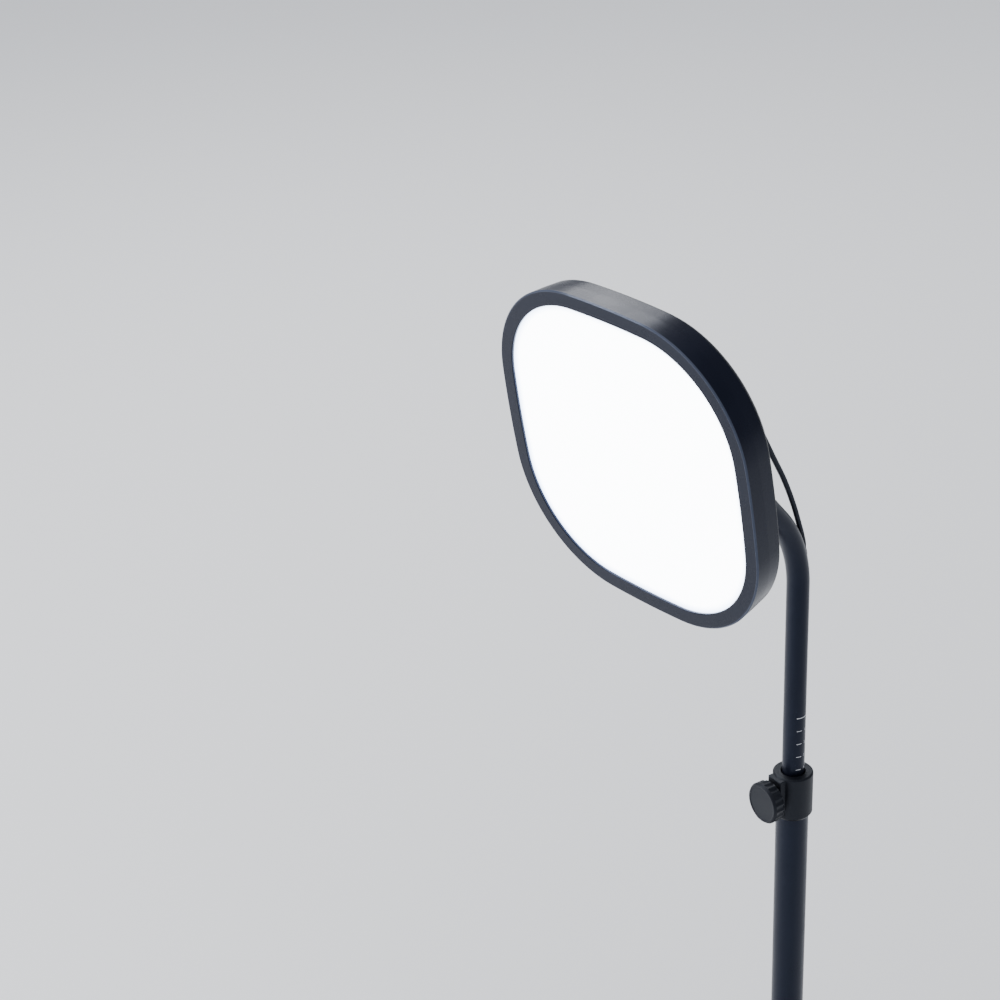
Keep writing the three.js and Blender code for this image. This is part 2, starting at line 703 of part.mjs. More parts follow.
// A shallow tray with a sloping edge, four screw posts and the openings for what it holds.
function rearHousing() {
  const rim = sweptProfile([
    [RIM_DRAFT + 0.1, RIM_REAR - GAP], [6.1, BACK_FACE], [22, BACK_FACE], [22, BACK_INSIDE],
    [6.8, BACK_INSIDE], [6.8, -12], [5.2, -12], [5.2, RIM_REAR - GAP],
  ], outlineTurns(), true);
  const posts = REAR_SCREWS.map((spot) => at(rod(3.4, BACK_INSIDE - 0.5, -9.4, 12), spot));
  const screwHoles = REAR_SCREWS.map((spot) => at(turned([
    [0, -23], [3.4, -23], [3.1, BACK_FACE], [1.7, -20.9], [1.7, -8], [0, -8],
  ], 12), spot));
  return cut(
    join(rim, plate(21.5, BACK_FACE, BACK_INSIDE), ...posts),
    ...screwHoles,
    ...ventSlots(),
    rod(5 + GAP, -24, -19),
    at(rod(5.6, -24, -19), [0, JACK_HEIGHT]),
    at(block([-9.5, 9.5], [-6.5, 6.5], [-24, -19]), ROCKER_AT),
    at(rod(2, -24, -19, 16), BUTTON_AT),
  );
}

function dcJack() {
  const nose = rod(5.2, -22.2, -19);
  const body = block([-5.5, 5.5], [-6, 6], [-20.2, -10]);
  return cut(join(body, nose), rod(2.9, -23, -13.4, 16)).translate(0, JACK_HEIGHT, 0);
}

function dcPlug() {
  return turned([
    [0, -13.8], [2.6, -13.8], [2.6, BACK_FACE - GAP], [5, BACK_FACE - GAP], [5, -37],
    [3.4, -39], [2.6, GAP - LEAD_END], [0, GAP - LEAD_END],
  ]).translate(0, JACK_HEIGHT, 0);
}

function switchFrame() {
  const lip = block([-10.5, 10.5], [-7.5, 7.5], [-24.2, BACK_FACE - GAP]);
  const body = block([-9.2, 9.2], [-6.2, 6.2], [BACK_FACE - 1, -11]);
  const well = block([-8, 8], [-4.9, 4.9], [-25, -18.4]);
  return at(cut(join(lip, body), well), ROCKER_AT);
}

// The rocker leans on one end. Its pivot runs along y through the middle of its well.
const ROCKER_PIVOT = -21.4;
const ROCKER_LEAN = 7;

function powerRocker() {
  const outline = [[-7.3, -3.4], [0, -2.3], [7.3, -3.4], [7, 0.6], [3.5, 1.6], [-3.5, 1.6], [-7, 0.6]];
  const shape = new THREE.Shape(outline.map(([x, z]) => new THREE.Vector2(x, z)));
  const body = new THREE.ExtrudeGeometry(shape, { depth: 8.8, bevelEnabled: false });
  body.translate(0, 0, -4.4).rotateX(Math.PI / 2).rotateY(degrees(ROCKER_LEAN));
  return at(body.translate(0, 0, ROCKER_PIVOT), ROCKER_AT);
}

function resetButton() {
  return at(turned([
    [0, -22.9], [1.7, -22.9], [1.7, -20.2], [2.9, -20.2], [2.9, -19.3], [0, -19.3],
  ], 16), BUTTON_AT);
}

// A push switch on the control board, under the reset button.
function tactSwitch() {
  const plunger = rod(1.5, -18.3, -16, 12);
  return at(join(block([-3, 3], [-3, 3], [-17.4, BOARD_REAR - GAP]), plunger), BUTTON_AT);
}

const onBoard = BOARD_REAR - GAP;
piece(panel, 'chassis_plate', chassisPlate(), aluminium());
piece(panel, 'mount_insert', mountInsert(), brass());
piece(panel, 'control_board', board([-64, -14], [-30, 24], CONTROL_SCREWS), circuitGreen());
piece(panel, 'driver_board', board([14, 64], [-30, 24], DRIVER_SCREWS), circuitGreen());
[...CONTROL_SCREWS, ...DRIVER_SCREWS].forEach((spot, k) => {
  piece(panel, `board_screw_${k + 1}`, at(boardScrew(), spot), steel());
});
piece(panel, 'wifi_module', block([-52, -36], [-24, 0], [onBoard - 2.6, onBoard]), steel());
piece(panel, 'tact_switch', tactSwitch(), blackPlastic());
piece(panel, 'inductor', at(rod(6, onBoard - 4.6, onBoard, 16), [46, 8]), blackPlastic());
piece(panel, 'capacitor', at(rod(4, onBoard - 5.4, onBoard, 16), [28, -10]), aluminium());
piece(panel, 'rear_housing', rearHousing(), blackPlastic());
REAR_SCREWS.forEach((spot, k) => {
  piece(panel, `rear_screw_${k + 1}`, at(rearScrew(), spot), steel());
});
piece(panel, 'dc_jack', dcJack(), blackPlastic());
piece(panel, 'dc_plug', dcPlug(), blackRubber());
piece(panel, 'switch_frame', switchFrame(), blackPlastic());
piece(panel, 'power_rocker', powerRocker(), blackPlastic());
piece(panel, 'reset_button', resetButton(), blackPlastic());

export default light;
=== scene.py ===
"""The looks of a desk panel light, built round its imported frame.

Shapes are written in millimetres in the frame of the part that they belong to, and are
placed in the row frame, in metres, when they are finished.
"""
import json
import math

import bmesh
import bpy
from mathutils import Matrix, Vector


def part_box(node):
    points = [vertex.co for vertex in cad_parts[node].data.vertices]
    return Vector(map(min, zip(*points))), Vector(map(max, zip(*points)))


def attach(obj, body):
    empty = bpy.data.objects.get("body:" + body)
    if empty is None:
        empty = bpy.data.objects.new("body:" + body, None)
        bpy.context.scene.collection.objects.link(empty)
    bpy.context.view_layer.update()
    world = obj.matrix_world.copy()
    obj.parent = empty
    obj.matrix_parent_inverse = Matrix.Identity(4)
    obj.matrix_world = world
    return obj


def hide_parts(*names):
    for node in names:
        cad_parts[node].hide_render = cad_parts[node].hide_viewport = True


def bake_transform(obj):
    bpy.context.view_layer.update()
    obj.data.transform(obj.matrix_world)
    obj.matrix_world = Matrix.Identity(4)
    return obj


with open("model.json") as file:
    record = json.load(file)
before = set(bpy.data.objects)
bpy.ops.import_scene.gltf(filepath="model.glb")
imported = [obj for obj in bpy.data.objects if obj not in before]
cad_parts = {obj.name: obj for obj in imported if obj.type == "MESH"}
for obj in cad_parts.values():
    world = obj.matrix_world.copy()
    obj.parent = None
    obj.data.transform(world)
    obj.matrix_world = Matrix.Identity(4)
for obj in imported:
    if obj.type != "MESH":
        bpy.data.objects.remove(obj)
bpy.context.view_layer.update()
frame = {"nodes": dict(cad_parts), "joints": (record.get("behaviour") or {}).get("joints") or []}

MM = 0.001
TURN = 2 * math.pi
JOINTS = {joint["name"]: joint for joint in frame["joints"]}

# ---- sizes, in millimetres ------------------------------------------------------------
PANEL_HALF = 103
SIDE_RADIUS = 620
CORNER_RADIUS = 76
BEZEL_WIDTH = 10
FRAME_PROUD = 1.7
RIM_REAR = -18.6
RIM_DRAFT = 2.5
BACK_FACE = -22.5
BACK_INSIDE = -20.5
BALL_TO_BACK = 28
BALL_RADIUS = 8
HOUSING_RADIUS = 12.5
UPPER_RADIUS = 7.5
UPPER_BORE = 6
LOWER_RADIUS = 11
LOWER_BORE = 9.5
BEND_START = 458
BEND_RADIUS = 85
POLE_END = 30
COLLAR_RADIUS = 13.5
LUG_WIDTH = 13
LUG_FACE = 16.2
LUG_TOP = 15.5
LUG_BOTTOM = -13.4
KNOB_RADIUS = 14.3
KNOB_FACE = 26.7
LEAD_RADIUS = 1.8
JACK_HEIGHT = 35
INLET_HEIGHT = 34
INLET_RADIUS = 4.3
SCALE_TOP = 362.5
SCALE_PITCH = 10
SCALE_MARKS = 20
# The lead's route in the plane x = 0, as (y, z), from its plug into the pole.
LEAD_ROUTE = [
    (-108.2, 640.8), (-97, 641.6), (-82, 637), (-66, 624), (-51, 604), (-38, 581.5),
    (-25.8, 558.8), (-15.2, 539.2), (-6.5, 519.4), (0.4, 499.9), (2.5, 493.3), (3.9, 487),
    (3.7, 481), (1.9, 475), (0.3, 467), (0, 455), (0, 400),
]


# ---- places ---------------------------------------------------------------------------
def placed(origin, up, across):
    """The frame at origin (metres) with z along up and x as near to across as it can be."""
    z = Vector(up).normalized()
    y = z.cross(Vector(across)).normalized()
    x = y.cross(z)
    return Matrix.Translation(origin) @ Matrix((x, y, z)).transposed().to_4x4()


def axis(name):
    return Vector(JOINTS[name]["axis"]).normalized()


def pivot(name):
    return Vector(JOINTS[name]["pos_m"])


UP = Vector((0, 0, 1))
RIGHT = Vector((1, 0, 0))
ROW = Matrix.Identity(4)
panel_normal = axis("panel_spin")
ball_centre = pivot("head_tilt")
HEAD = placed(ball_centre, axis("head_swivel"), RIGHT)
STUD = placed(ball_centre, panel_normal, RIGHT)
PANEL = placed(ball_centre + panel_normal * (BALL_TO_BACK - BACK_FACE) * MM, panel_normal, RIGHT)
knob_axis = axis("clamp_knob_turn")
CLAMP = placed(pivot("clamp_knob_turn"), UP, UP.cross(knob_axis))
KNOB = placed(pivot("clamp_knob_turn"), knob_axis, UP)
LOCK = placed(pivot("ball_lock_turn"), axis("ball_lock_turn"), UP)
bend_turn = math.atan2(-axis("head_swivel").y, axis("head_swivel").z)


# ---- camera ---------------------------------------------------------------------------
CAMERA_TARGET = Vector((-0.1549, -0.1167, 0.5047))
CAMERA_AZIMUTH = math.radians(50.17)
CAMERA_ELEVATION = math.radians(27.0)
CAMERA_ROLL = math.radians(-2.0)
CAMERA_DISTANCE = 1.6122
CAMERA_LENS = 89.6


def make_camera():
    data = bpy.data.cameras.new("camera")
    data.lens = CAMERA_LENS
    data.clip_end = 50
    camera = linked("camera", data)
    level = math.cos(CAMERA_ELEVATION)
    back = Vector((
        math.sin(CAMERA_AZIMUTH) * level,
        -math.cos(CAMERA_AZIMUTH) * level,
        math.sin(CAMERA_ELEVATION),
    ))
    right = Vector((math.cos(CAMERA_AZIMUTH), math.sin(CAMERA_AZIMUTH), 0))
    view = placed(CAMERA_TARGET + back * CAMERA_DISTANCE, back, right)
    camera.matrix_world = view @ Matrix.Rotation(CAMERA_ROLL, 4, "Z")
    bpy.context.scene.camera = camera


# ---- shapes ---------------------------------------------------------------------------
def linked(name, data):
    """A new object in the scene that holds the given mesh, light, curve or camera."""
    made = bpy.data.objects.new(name, data)
    bpy.context.scene.collection.objects.link(made)
    return made


def dropped(made):
    """Removes a temporary object with its mesh."""
    mesh = made.data
    bpy.data.objects.remove(made)
    bpy.data.meshes.remove(mesh)


def rounded(corners, closed=True, steps=4):
    """A polyline through (x, y) or (x, y, radius) corners, with an arc at each radius."""
    points = [Vector(corner[:2]) for corner in corners]
    line = []
    for k, corner in enumerate(corners):
        here = points[k]
        ends = not closed and k in (0, len(corners) - 1)
        if len(corner) < 3 or ends:
            line.append(here)
            continue
        before = points[k - 1] - here
        after = points[(k + 1) % len(points)] - here
        half = before.angle(after) / 2
        reach = min(corner[2] / math.tan(half), 0.48 * before.length, 0.48 * after.length)
        radius = reach * math.tan(half)
        inward = (before.normalized() + after.normalized()).normalized()
        centre = here + inward * radius / math.sin(half)
        first = here + before.normalized() * reach - centre
        last = here + after.normalized() * reach - centre
        for step in range(steps + 1):
            line.append(centre + first.slerp(last, step / steps) * radius)
    return line


def shape(verts, faces):
    """A temporary object in millimetres, with its doubled points merged."""
    mesh = bpy.data.meshes.new("shape")
    mesh.from_pydata([tuple(v) for v in verts], [], faces)
    work = bmesh.new()
    work.from_mesh(mesh)
    bmesh.ops.remove_doubles(work, verts=work.verts, dist=1e-4)
    bmesh.ops.dissolve_degenerate(work, edges=work.edges, dist=1e-5)
    bmesh.ops.recalc_face_normals(work, faces=work.faces)
    work.to_mesh(mesh)
    work.free()
    return linked("shape", mesh)


def woven(rings, closed_ring=True, closed_way=False, caps=True):
    """A shape through rings of equal length, one after another."""
    count = len(rings[0])
    verts = [point for ring in rings for point in ring]
    faces = []
    last = len(rings) if closed_way else len(rings) - 1
    for k in range(last):
        here = k * count
        there = ((k + 1) % len(rings)) * count
        for j in range(count if closed_ring else count - 1):
            after = (j + 1) % count
            faces.append((here + j, here + after, there + after, there + j))
    if caps and not closed_way:
        faces.append(tuple(range(count)))
        faces.append(tuple(range((len(rings) - 1) * count, len(rings) * count)))
    return shape(verts, faces)


def turned(profile, sides=96, ripple=None):
    """A solid of revolution about z. ripple(radius, z, angle) may change a point's radius."""
    ends_on_axis = profile[0][0] < 1e-6 and profile[-1][0] < 1e-6
    rings = []
    for k in range(sides):
        angle = TURN * k / sides
        ring = []
        for radius, z in profile:
            reach = ripple(radius, z, angle) if ripple else radius
            ring.append((reach * math.cos(angle), reach * math.sin(angle), z))
        rings.append(ring)
    return woven(rings, closed_ring=not ends_on_axis, closed_way=True)


def rod(radius, low, high, sides=32, edge=0.0):
    corners = [(0, low), (radius, low, edge), (radius, high, edge), (0, high)]
    if not edge:
        corners = [corner[:2] for corner in corners]
    return turned(rounded(corners, closed=False, steps=3), sides)


def prism(outline, low, high, edge=0.0):
    """An upright prism, with small flat chamfers of the given size on both rims."""
    middle = sum(outline, Vector((0, 0))) / len(outline)
    rings = []
    levels = [(low, edge), (low + edge, 0), (high - edge, 0), (high, edge)]
    if not edge:
        levels = [(low, 0), (high, 0)]
    for z, inset in levels:
        ring = []
        for point in outline:
            away = point - middle
            shrunk = away * (1 - inset / max(away.length, 1e-6))
            ring.append((middle.x + shrunk.x, middle.y + shrunk.y, z))
        rings.append(ring)
    return woven(rings)


def slab(x, y, z, corner=0.5, edge=0.2):
    """A box between (low, high) pairs, with rounded upright edges and chamfered rims."""
    corners = [(x[0], y[0]), (x[1], y[0]), (x[1], y[1]), (x[0], y[1])]
    outline = rounded([(*point, corner) for point in corners])
    return prism(outline, z[0], z[1], edge)


def moved(made, offset=(0, 0, 0), turn=0.0, about="Z"):
    made.data.transform(Matrix.Translation(offset) @ Matrix.Rotation(turn, 4, about))
    return made


def along_x(made):
    return moved(made, turn=math.pi / 2, about="Y")


def along_y(made):
    return moved(made, turn=-math.pi / 2, about="X")


def applied(made):
    bpy.context.view_layer.update()
    graph = bpy.context.evaluated_depsgraph_get()
    mesh = bpy.data.meshes.new_from_object(made.evaluated_get(graph))
    made.modifiers.clear()
    old = made.data
    made.data = mesh
    bpy.data.meshes.remove(old)
    return made


def combined(made, tools, operation):
    for tool in tools:
        modifier = made.modifiers.new(operation, "BOOLEAN")
        modifier.operation = operation
        modifier.solver = "EXACT"
        modifier.object = tool
        applied(made)
        dropped(tool)
    return made


def cut(made, *tools):
    return combined(made, tools, "DIFFERENCE")


def fused(made, *tools):
    return combined(made, tools, "UNION")


def together(*parts):
    """Several separate solids as one object."""
    work = bmesh.new()
    for part in parts:
        work.from_mesh(part.data)
    mesh = bpy.data.meshes.new("shape")
    work.to_mesh(mesh)
    work.free()
    for part in parts:
        dropped(part)
    return linked("shape", mesh)


def finished(made, name, place, body, finish, replaced=(), sharp=35):
    """Names and places a shape, shades it, gives it its finish and hangs it on its body.

    A piece that bends across a joint has no body here.
    """
    made.name = name
    made.data.name = name
    made.data.transform(place @ Matrix.Scale(MM, 4))
    made.data.shade_smooth()
    made.data.set_sharp_from_angle(angle=math.radians(sharp))
    made.data.materials.clear()
    made.data.materials.append(finish)
    if body:
        made.modifiers.new("normals", "WEIGHTED_NORMAL").keep_sharp = True
        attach(made, body)
    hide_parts(*replaced)
    return made


# ---- panel outline --------------------------------------------------------------------
QUARTER = math.pi / 2
SIDE_CENTRE = PANEL_HALF - SIDE_RADIUS
CORNER_CENTRE = (SIDE_CENTRE + math.sqrt(
    2 * (SIDE_RADIUS - CORNER_RADIUS) ** 2 - SIDE_CENTRE ** 2
)) / 2
SIDE_TURN = math.atan2(CORNER_CENTRE, CORNER_CENTRE - SIDE_CENTRE)


def outline_point(turn, inset):
    """The point of the panel's outline that faces turn, moved in by inset."""
    side = round(turn / QUARTER) * QUARTER
    if abs(turn - side) <= SIDE_TURN + 1e-9:
        centre, towards, radius = SIDE_CENTRE, side, SIDE_RADIUS
    else:
        centre = CORNER_CENTRE * math.sqrt(2)
        towards = (math.floor(turn / QUARTER) + 0.5) * QUARTER
        radius = CORNER_RADIUS
    radius -= inset
    return Vector((
        centre * math.cos(towards) + radius * math.cos(turn),
        centre * math.sin(towards) + radius * math.sin(turn),
    ))


def outline_turns(side_steps=10, corner_steps=36):
    turns = []
    for side in range(4):
        start = side * QUARTER - SIDE_TURN
        turns += [start + 2 * SIDE_TURN * k / side_steps for k in range(side_steps)]
        start = side * QUARTER + SIDE_TURN
        corner = QUARTER - 2 * SIDE_TURN
        turns += [start + corner * k / corner_steps for k in range(corner_steps)]
    return turns


def outline_ring(profile):
    """A closed (inset, z) profile swept all the way round the panel's outline."""
    rings = []
    for turn in outline_turns():
        rings.append([(*outline_point(turn, inset), z) for inset, z in profile])
    return woven(rings, closed_way=True)


def outline_disc(levels):
    """A disc with the panel's outline, through (inset, z) rims from one face to the other."""
    turns = outline_turns()
    return woven([[(*outline_point(turn, inset), z) for turn in turns] for inset, z in levels])


# ---- finishes -------------------------------------------------------------------------
def node(tree, kind, **values):
    made = tree.nodes.new(kind)
    for key, value in values.items():
        if hasattr(made, key):
            setattr(made, key, value)
        else:
            made.inputs[key].default_value = value
    return made


def noise(tree, coordinates, scale, detail=3.0, stretch=(1, 1, 1)):
    """Noise with features about 1 / scale metres across, stretched along an axis."""
    mapping = node(tree, "ShaderNodeMapping")
    mapping.inputs["Scale"].default_value = stretch
    tree.links.new(coordinates, mapping.inputs["Vector"])
    made = node(tree, "ShaderNodeTexNoise", Scale=scale, Detail=detail)
    tree.links.new(mapping.outputs["Vector"], made.inputs["Vector"])
    return made.outputs["Fac"]


def ranged(tree, value, low, high, start=0.3, end=0.7):
    made = node(tree, "ShaderNodeMapRange")
    for key, number in (("From Min", start), ("From Max", end), ("To Min", low), ("To Max", high)):
        made.inputs[key].default_value = number
    tree.links.new(value, made.inputs["Value"])
    return made.outputs["Result"]


def mixed(tree, factor, first, second):
    """A colour between two, from a Mix node's colour sockets: factor 0, A 6, B 7, result 2."""
    made = node(tree, "ShaderNodeMix", data_type="RGBA")
    tree.links.new(factor, made.inputs[0])
    made.inputs[6].default_value = (*first, 1)
    made.inputs[7].default_value = (*second, 1)
    return made.outputs[2]


def bumped(tree, shader, height, strength, distance):
    made = node(tree, "ShaderNodeBump", Strength=strength, Distance=distance)
    tree.links.new(height, made.inputs["Height"])
    tree.links.new(made.outputs["Normal"], shader.inputs["Normal"])


def finish_of(name, color, second, roughness, grain, depth, metallic=0.0, stretch=(1, 1, 1),
              tint=(1, 1, 1), specular=0.5, ior=1.5, smudge=45.0):
    """A surface with two mottled colours, uneven gloss and a fine grain that stands out."""
    made = bpy.data.materials.new(name)
    made.use_nodes = True
    tree = made.node_tree
    shader = tree.nodes["Principled BSDF"]
    shader.inputs["Metallic"].default_value = metallic
    shader.inputs["Specular Tint"].default_value = (*tint, 1)
    shader.inputs["Specular IOR Level"].default_value = specular
    shader.inputs["IOR"].default_value = ior
    coordinates = tree.nodes.new("ShaderNodeTexCoord").outputs["Object"]
    cloud = noise(tree, coordinates, smudge, 4.0)
    tree.links.new(mixed(tree, ranged(tree, cloud, 0, 1), color, second), shader.inputs["Base Color"])
    fine = noise(tree, coordinates, grain, 2.0, stretch)
    blend = node(tree, "ShaderNodeMath", operation="MULTIPLY_ADD")
    tree.links.new(fine, blend.inputs[0])
    blend.inputs[1].default_value = 0.45
    tree.links.new(cloud, blend.inputs[2])
    gloss = ranged(tree, blend.outputs["Value"], roughness[0], roughness[1], 0.45, 1.0)
    tree.links.new(gloss, shader.inputs["Roughness"])
    bumped(tree, shader, fine, 0.6, depth)
    return made


POLISHED = (0.16, 0.16, 0.16)  # a roughness, as a grey


def edge_worn(made, highlight_colour):
    """Paints a highlight colour and a polished roughness wherever a piece's edge highlight attribute
    is set: a painted highlight line.
    """
    tree = made.node_tree
    shader = tree.nodes["Principled BSDF"]
    edge_highlight = node(tree, "ShaderNodeAttribute", attribute_name="edge_highlight").outputs["Fac"]
    for name, end in (("Base Color", highlight_colour), ("Roughness", POLISHED)):
        mix = node(tree, "ShaderNodeMix", data_type="RGBA")
        tree.links.new(edge_highlight, mix.inputs[0])
        tree.links.new(shader.inputs[name].links[0].from_socket, mix.inputs[6])
        mix.inputs[7].default_value = (*end, 1)
        tree.links.new(mix.outputs[2], shader.inputs[name])
    return made


EDGE_GLOW = (0.5, 0.66, 1.0)
MIDDLE_GLOW = (0.93, 0.96, 1.0)
EDGE_STRENGTH = 6.0
MIDDLE_STRENGTH = 12.0


def lit_opal():
    """The lit face: even white, a little dimmer and bluer in its last few millimetres."""
    made = finish_of("lit_opal", (0.9, 0.93, 1.0), (0.86, 0.9, 1.0), (0.3, 0.42), 900, 0.00001)
    tree = made.node_tree
    shader = tree.nodes["Principled BSDF"]
    depth = node(tree, "ShaderNodeAttribute", attribute_name="inset").outputs["Fac"]
    inward = ranged(tree, depth, 0, 1, 0.0, 1.0)
    glow = mixed(tree, inward, EDGE_GLOW, MIDDLE_GLOW)
    tree.links.new(glow, shader.inputs["Emission Color"])
    strength = ranged(tree, depth, EDGE_STRENGTH, MIDDLE_STRENGTH, 0.0, 1.0)
    tree.links.new(strength, shader.inputs["Emission Strength"])
    return made


NAVY = (0.58, 0.7, 1.0)
PAINT = finish_of("black_powder_coat", (0.0035, 0.004, 0.009), (0.005, 0.006, 0.0125),
                  (0.26, 0.4), 1900, 0.00008, specular=0.42, ior=1.38, tint=NAVY)
SATIN = finish_of("satin_black_frame_painted_edge_highlight", (0.003, 0.0036, 0.0095), (0.0042, 0.005, 0.0125),
                  (0.22, 0.33), 2600, 0.000012, specular=0.45, ior=1.32, tint=NAVY)
# The frame's front outer edge gets a lighter, bluish colour: a painted highlight standing in for the
# bright line of light along that edge.
edge_worn(SATIN, (0.06, 0.07, 0.1))
PLASTIC = finish_of("black_moulding", (0.0045, 0.0048, 0.007), (0.0062, 0.0066, 0.0095),
                    (0.4, 0.56), 2300, 0.00008, specular=0.4, ior=1.4, tint=(0.75, 0.84, 1.0))
RUBBER = finish_of("black_rubber", (0.005, 0.005, 0.006), (0.008, 0.008, 0.009),
                   (0.6, 0.82), 1500, 0.00006, specular=0.3, tint=NAVY)
CABLE = finish_of("lead_sheath", (0.003, 0.0032, 0.0045), (0.0045, 0.0048, 0.0065),
                  (0.36, 0.5), 1200, 0.00003, specular=0.28, tint=NAVY)
STEEL = finish_of("zinc_plated_steel", (0.42, 0.43, 0.45), (0.48, 0.49, 0.51),
                  (0.24, 0.34), 3200, 0.000002, metallic=1.0, smudge=160)
CAST = finish_of("blackened_steel", (0.045, 0.046, 0.05), (0.07, 0.07, 0.075),
                 (0.4, 0.6), 500, 0.0001, metallic=1.0)
BRASS = finish_of("turned_brass", (0.62, 0.47, 0.2), (0.7, 0.55, 0.27),
                  (0.22, 0.4), 800, 0.00002, metallic=1.0, stretch=(1, 10, 1))
ALUMINIUM = finish_of("rolled_aluminium", (0.66, 0.67, 0.69), (0.74, 0.75, 0.77),
                      (0.25, 0.42), 500, 0.00002, metallic=1.0, stretch=(14, 1, 1))
NYLON = finish_of("natural_nylon", (0.68, 0.66, 0.58), (0.75, 0.73, 0.66),
                  (0.35, 0.5), 1200, 0.00004)
BOARD = finish_of("solder_mask", (0.01, 0.09, 0.045), (0.016, 0.13, 0.065),
                  (0.25, 0.4), 600, 0.00004)
INK = finish_of("white_scale_ink", (0.72, 0.73, 0.76), (0.8, 0.81, 0.84),
                (0.4, 0.6), 3000, 0.00002)
WHITE = finish_of("white_sheet", (0.78, 0.79, 0.8), (0.84, 0.85, 0.86), (0.3, 0.45), 900, 0.00002)
OPAL = lit_opal()


# ---- panel ----------------------------------------------------------------------------
# The width of the frame's front edge chamfer, along which a highlight is painted.
HIGHLIGHT_CHAMFER = 0.7


def front_frame():
    """Bezel and rim in one, with a fine chamfer round its front edge that carries a painted
    highlight.
    """
    inner = RIM_DRAFT + 1.9
    profile = rounded([
        (HIGHLIGHT_CHAMFER + 0.5, FRAME_PROUD), (HIGHLIGHT_CHAMFER, FRAME_PROUD, 0.4),
        (0, FRAME_PROUD - HIGHLIGHT_CHAMFER, 0.4), (0.06, FRAME_PROUD - HIGHLIGHT_CHAMFER - 0.5),
        (RIM_DRAFT * 0.46, -9.2, 30), (RIM_DRAFT, RIM_REAR, 0.35),
        (inner, RIM_REAR), (2.4, 0), (BEZEL_WIDTH, 0, 0.1),
        (BEZEL_WIDTH, FRAME_PROUD - 0.4, 0.25), (BEZEL_WIDTH - 0.5, FRAME_PROUD, 0.3),
    ])
    made = outline_ring(profile)
    # Marks the front outer chamfer, where the frame's finish paints a lighter highlight colour.
    edge_highlight = made.data.attributes.new("edge_highlight", "FLOAT", "POINT")
    for k, vertex in enumerate(made.data.vertices):
        outer = inset_of(vertex.co) < HIGHLIGHT_CHAMFER + 0.2
        edge_highlight.data[k].value = float(outer and vertex.co.z > FRAME_PROUD - HIGHLIGHT_CHAMFER - 0.2)
    finished(made, "frame_shell", PANEL, "panel", SATIN, ["front_frame"])


def diffuser():
    """The opal plate, with the distance from the opening's edge kept for its glow."""
    front = -0.3
    levels = [(6.6, -2.3), (6, -1.9), (6, front - 0.3), (6.4, front)]
    levels += [(BEZEL_WIDTH + step, front) for step in (0, 0.7, 1.4, 2.2, 3.2, 4.5, 7, 30, 60)]
    made = outline_disc(levels)
    attribute = made.data.attributes.new("inset", "FLOAT", "POINT")
    for k, vertex in enumerate(made.data.vertices):
        inset = inset_of(vertex.co)
        attribute.data[k].value = min(max((inset - BEZEL_WIDTH + 1.5) / 5.5, 0), 1)
    finished(made, "opal_plate", PANEL, "panel", OPAL, ["diffuser_plate"])


def inset_of(point):
    """How far a point in the panel's plane lies inside the outline."""
    x, y = abs(point.x), abs(point.y)
    if x > CORNER_CENTRE and y > CORNER_CENTRE:
        return CORNER_RADIUS - math.hypot(x - CORNER_CENTRE, y - CORNER_CENTRE)
    return SIDE_RADIUS - math.hypot(max(x, y) - SIDE_CENTRE, min(x, y))


def long_slot(x, y, length, width, low, high, mouth):
    """A cutter with round ends that opens out at its low end."""
    straight = (length - width) / 2
    rings = []
    for z, grow in ((low - 1, mouth), (low, mouth), (low + mouth, 0), (high, 0)):
        radius = width / 2 + grow
        ring = []
        for end in (1, -1):
            for k in range(9):
                turn = math.pi * k / 8
                across = radius * math.cos(turn) * end
                along = (straight + radius * math.sin(turn)) * end
                ring.append((x + across, y + along, z))
        rings.append(ring)
    return woven(rings)


REAR_SCREWS = [(58, 58), (-58, 58), (-58, -58), (58, -58)]
ROCKER_AT = (-34, 42)
BUTTON_AT = (-34, 12)
VENT_ROWS = (-62, 62)


def flared(radius, x, y, mouth=0.4, high=-19):
    """A round cutter through the back, with a chamfered mouth."""
    profile = [
        (0, BACK_FACE - 1), (radius + mouth, BACK_FACE - 1), (radius + mouth, BACK_FACE),
        (radius, BACK_FACE + mouth), (radius, high), (0, high),
    ]
    return moved(turned(profile, 48), (x, y, 0))


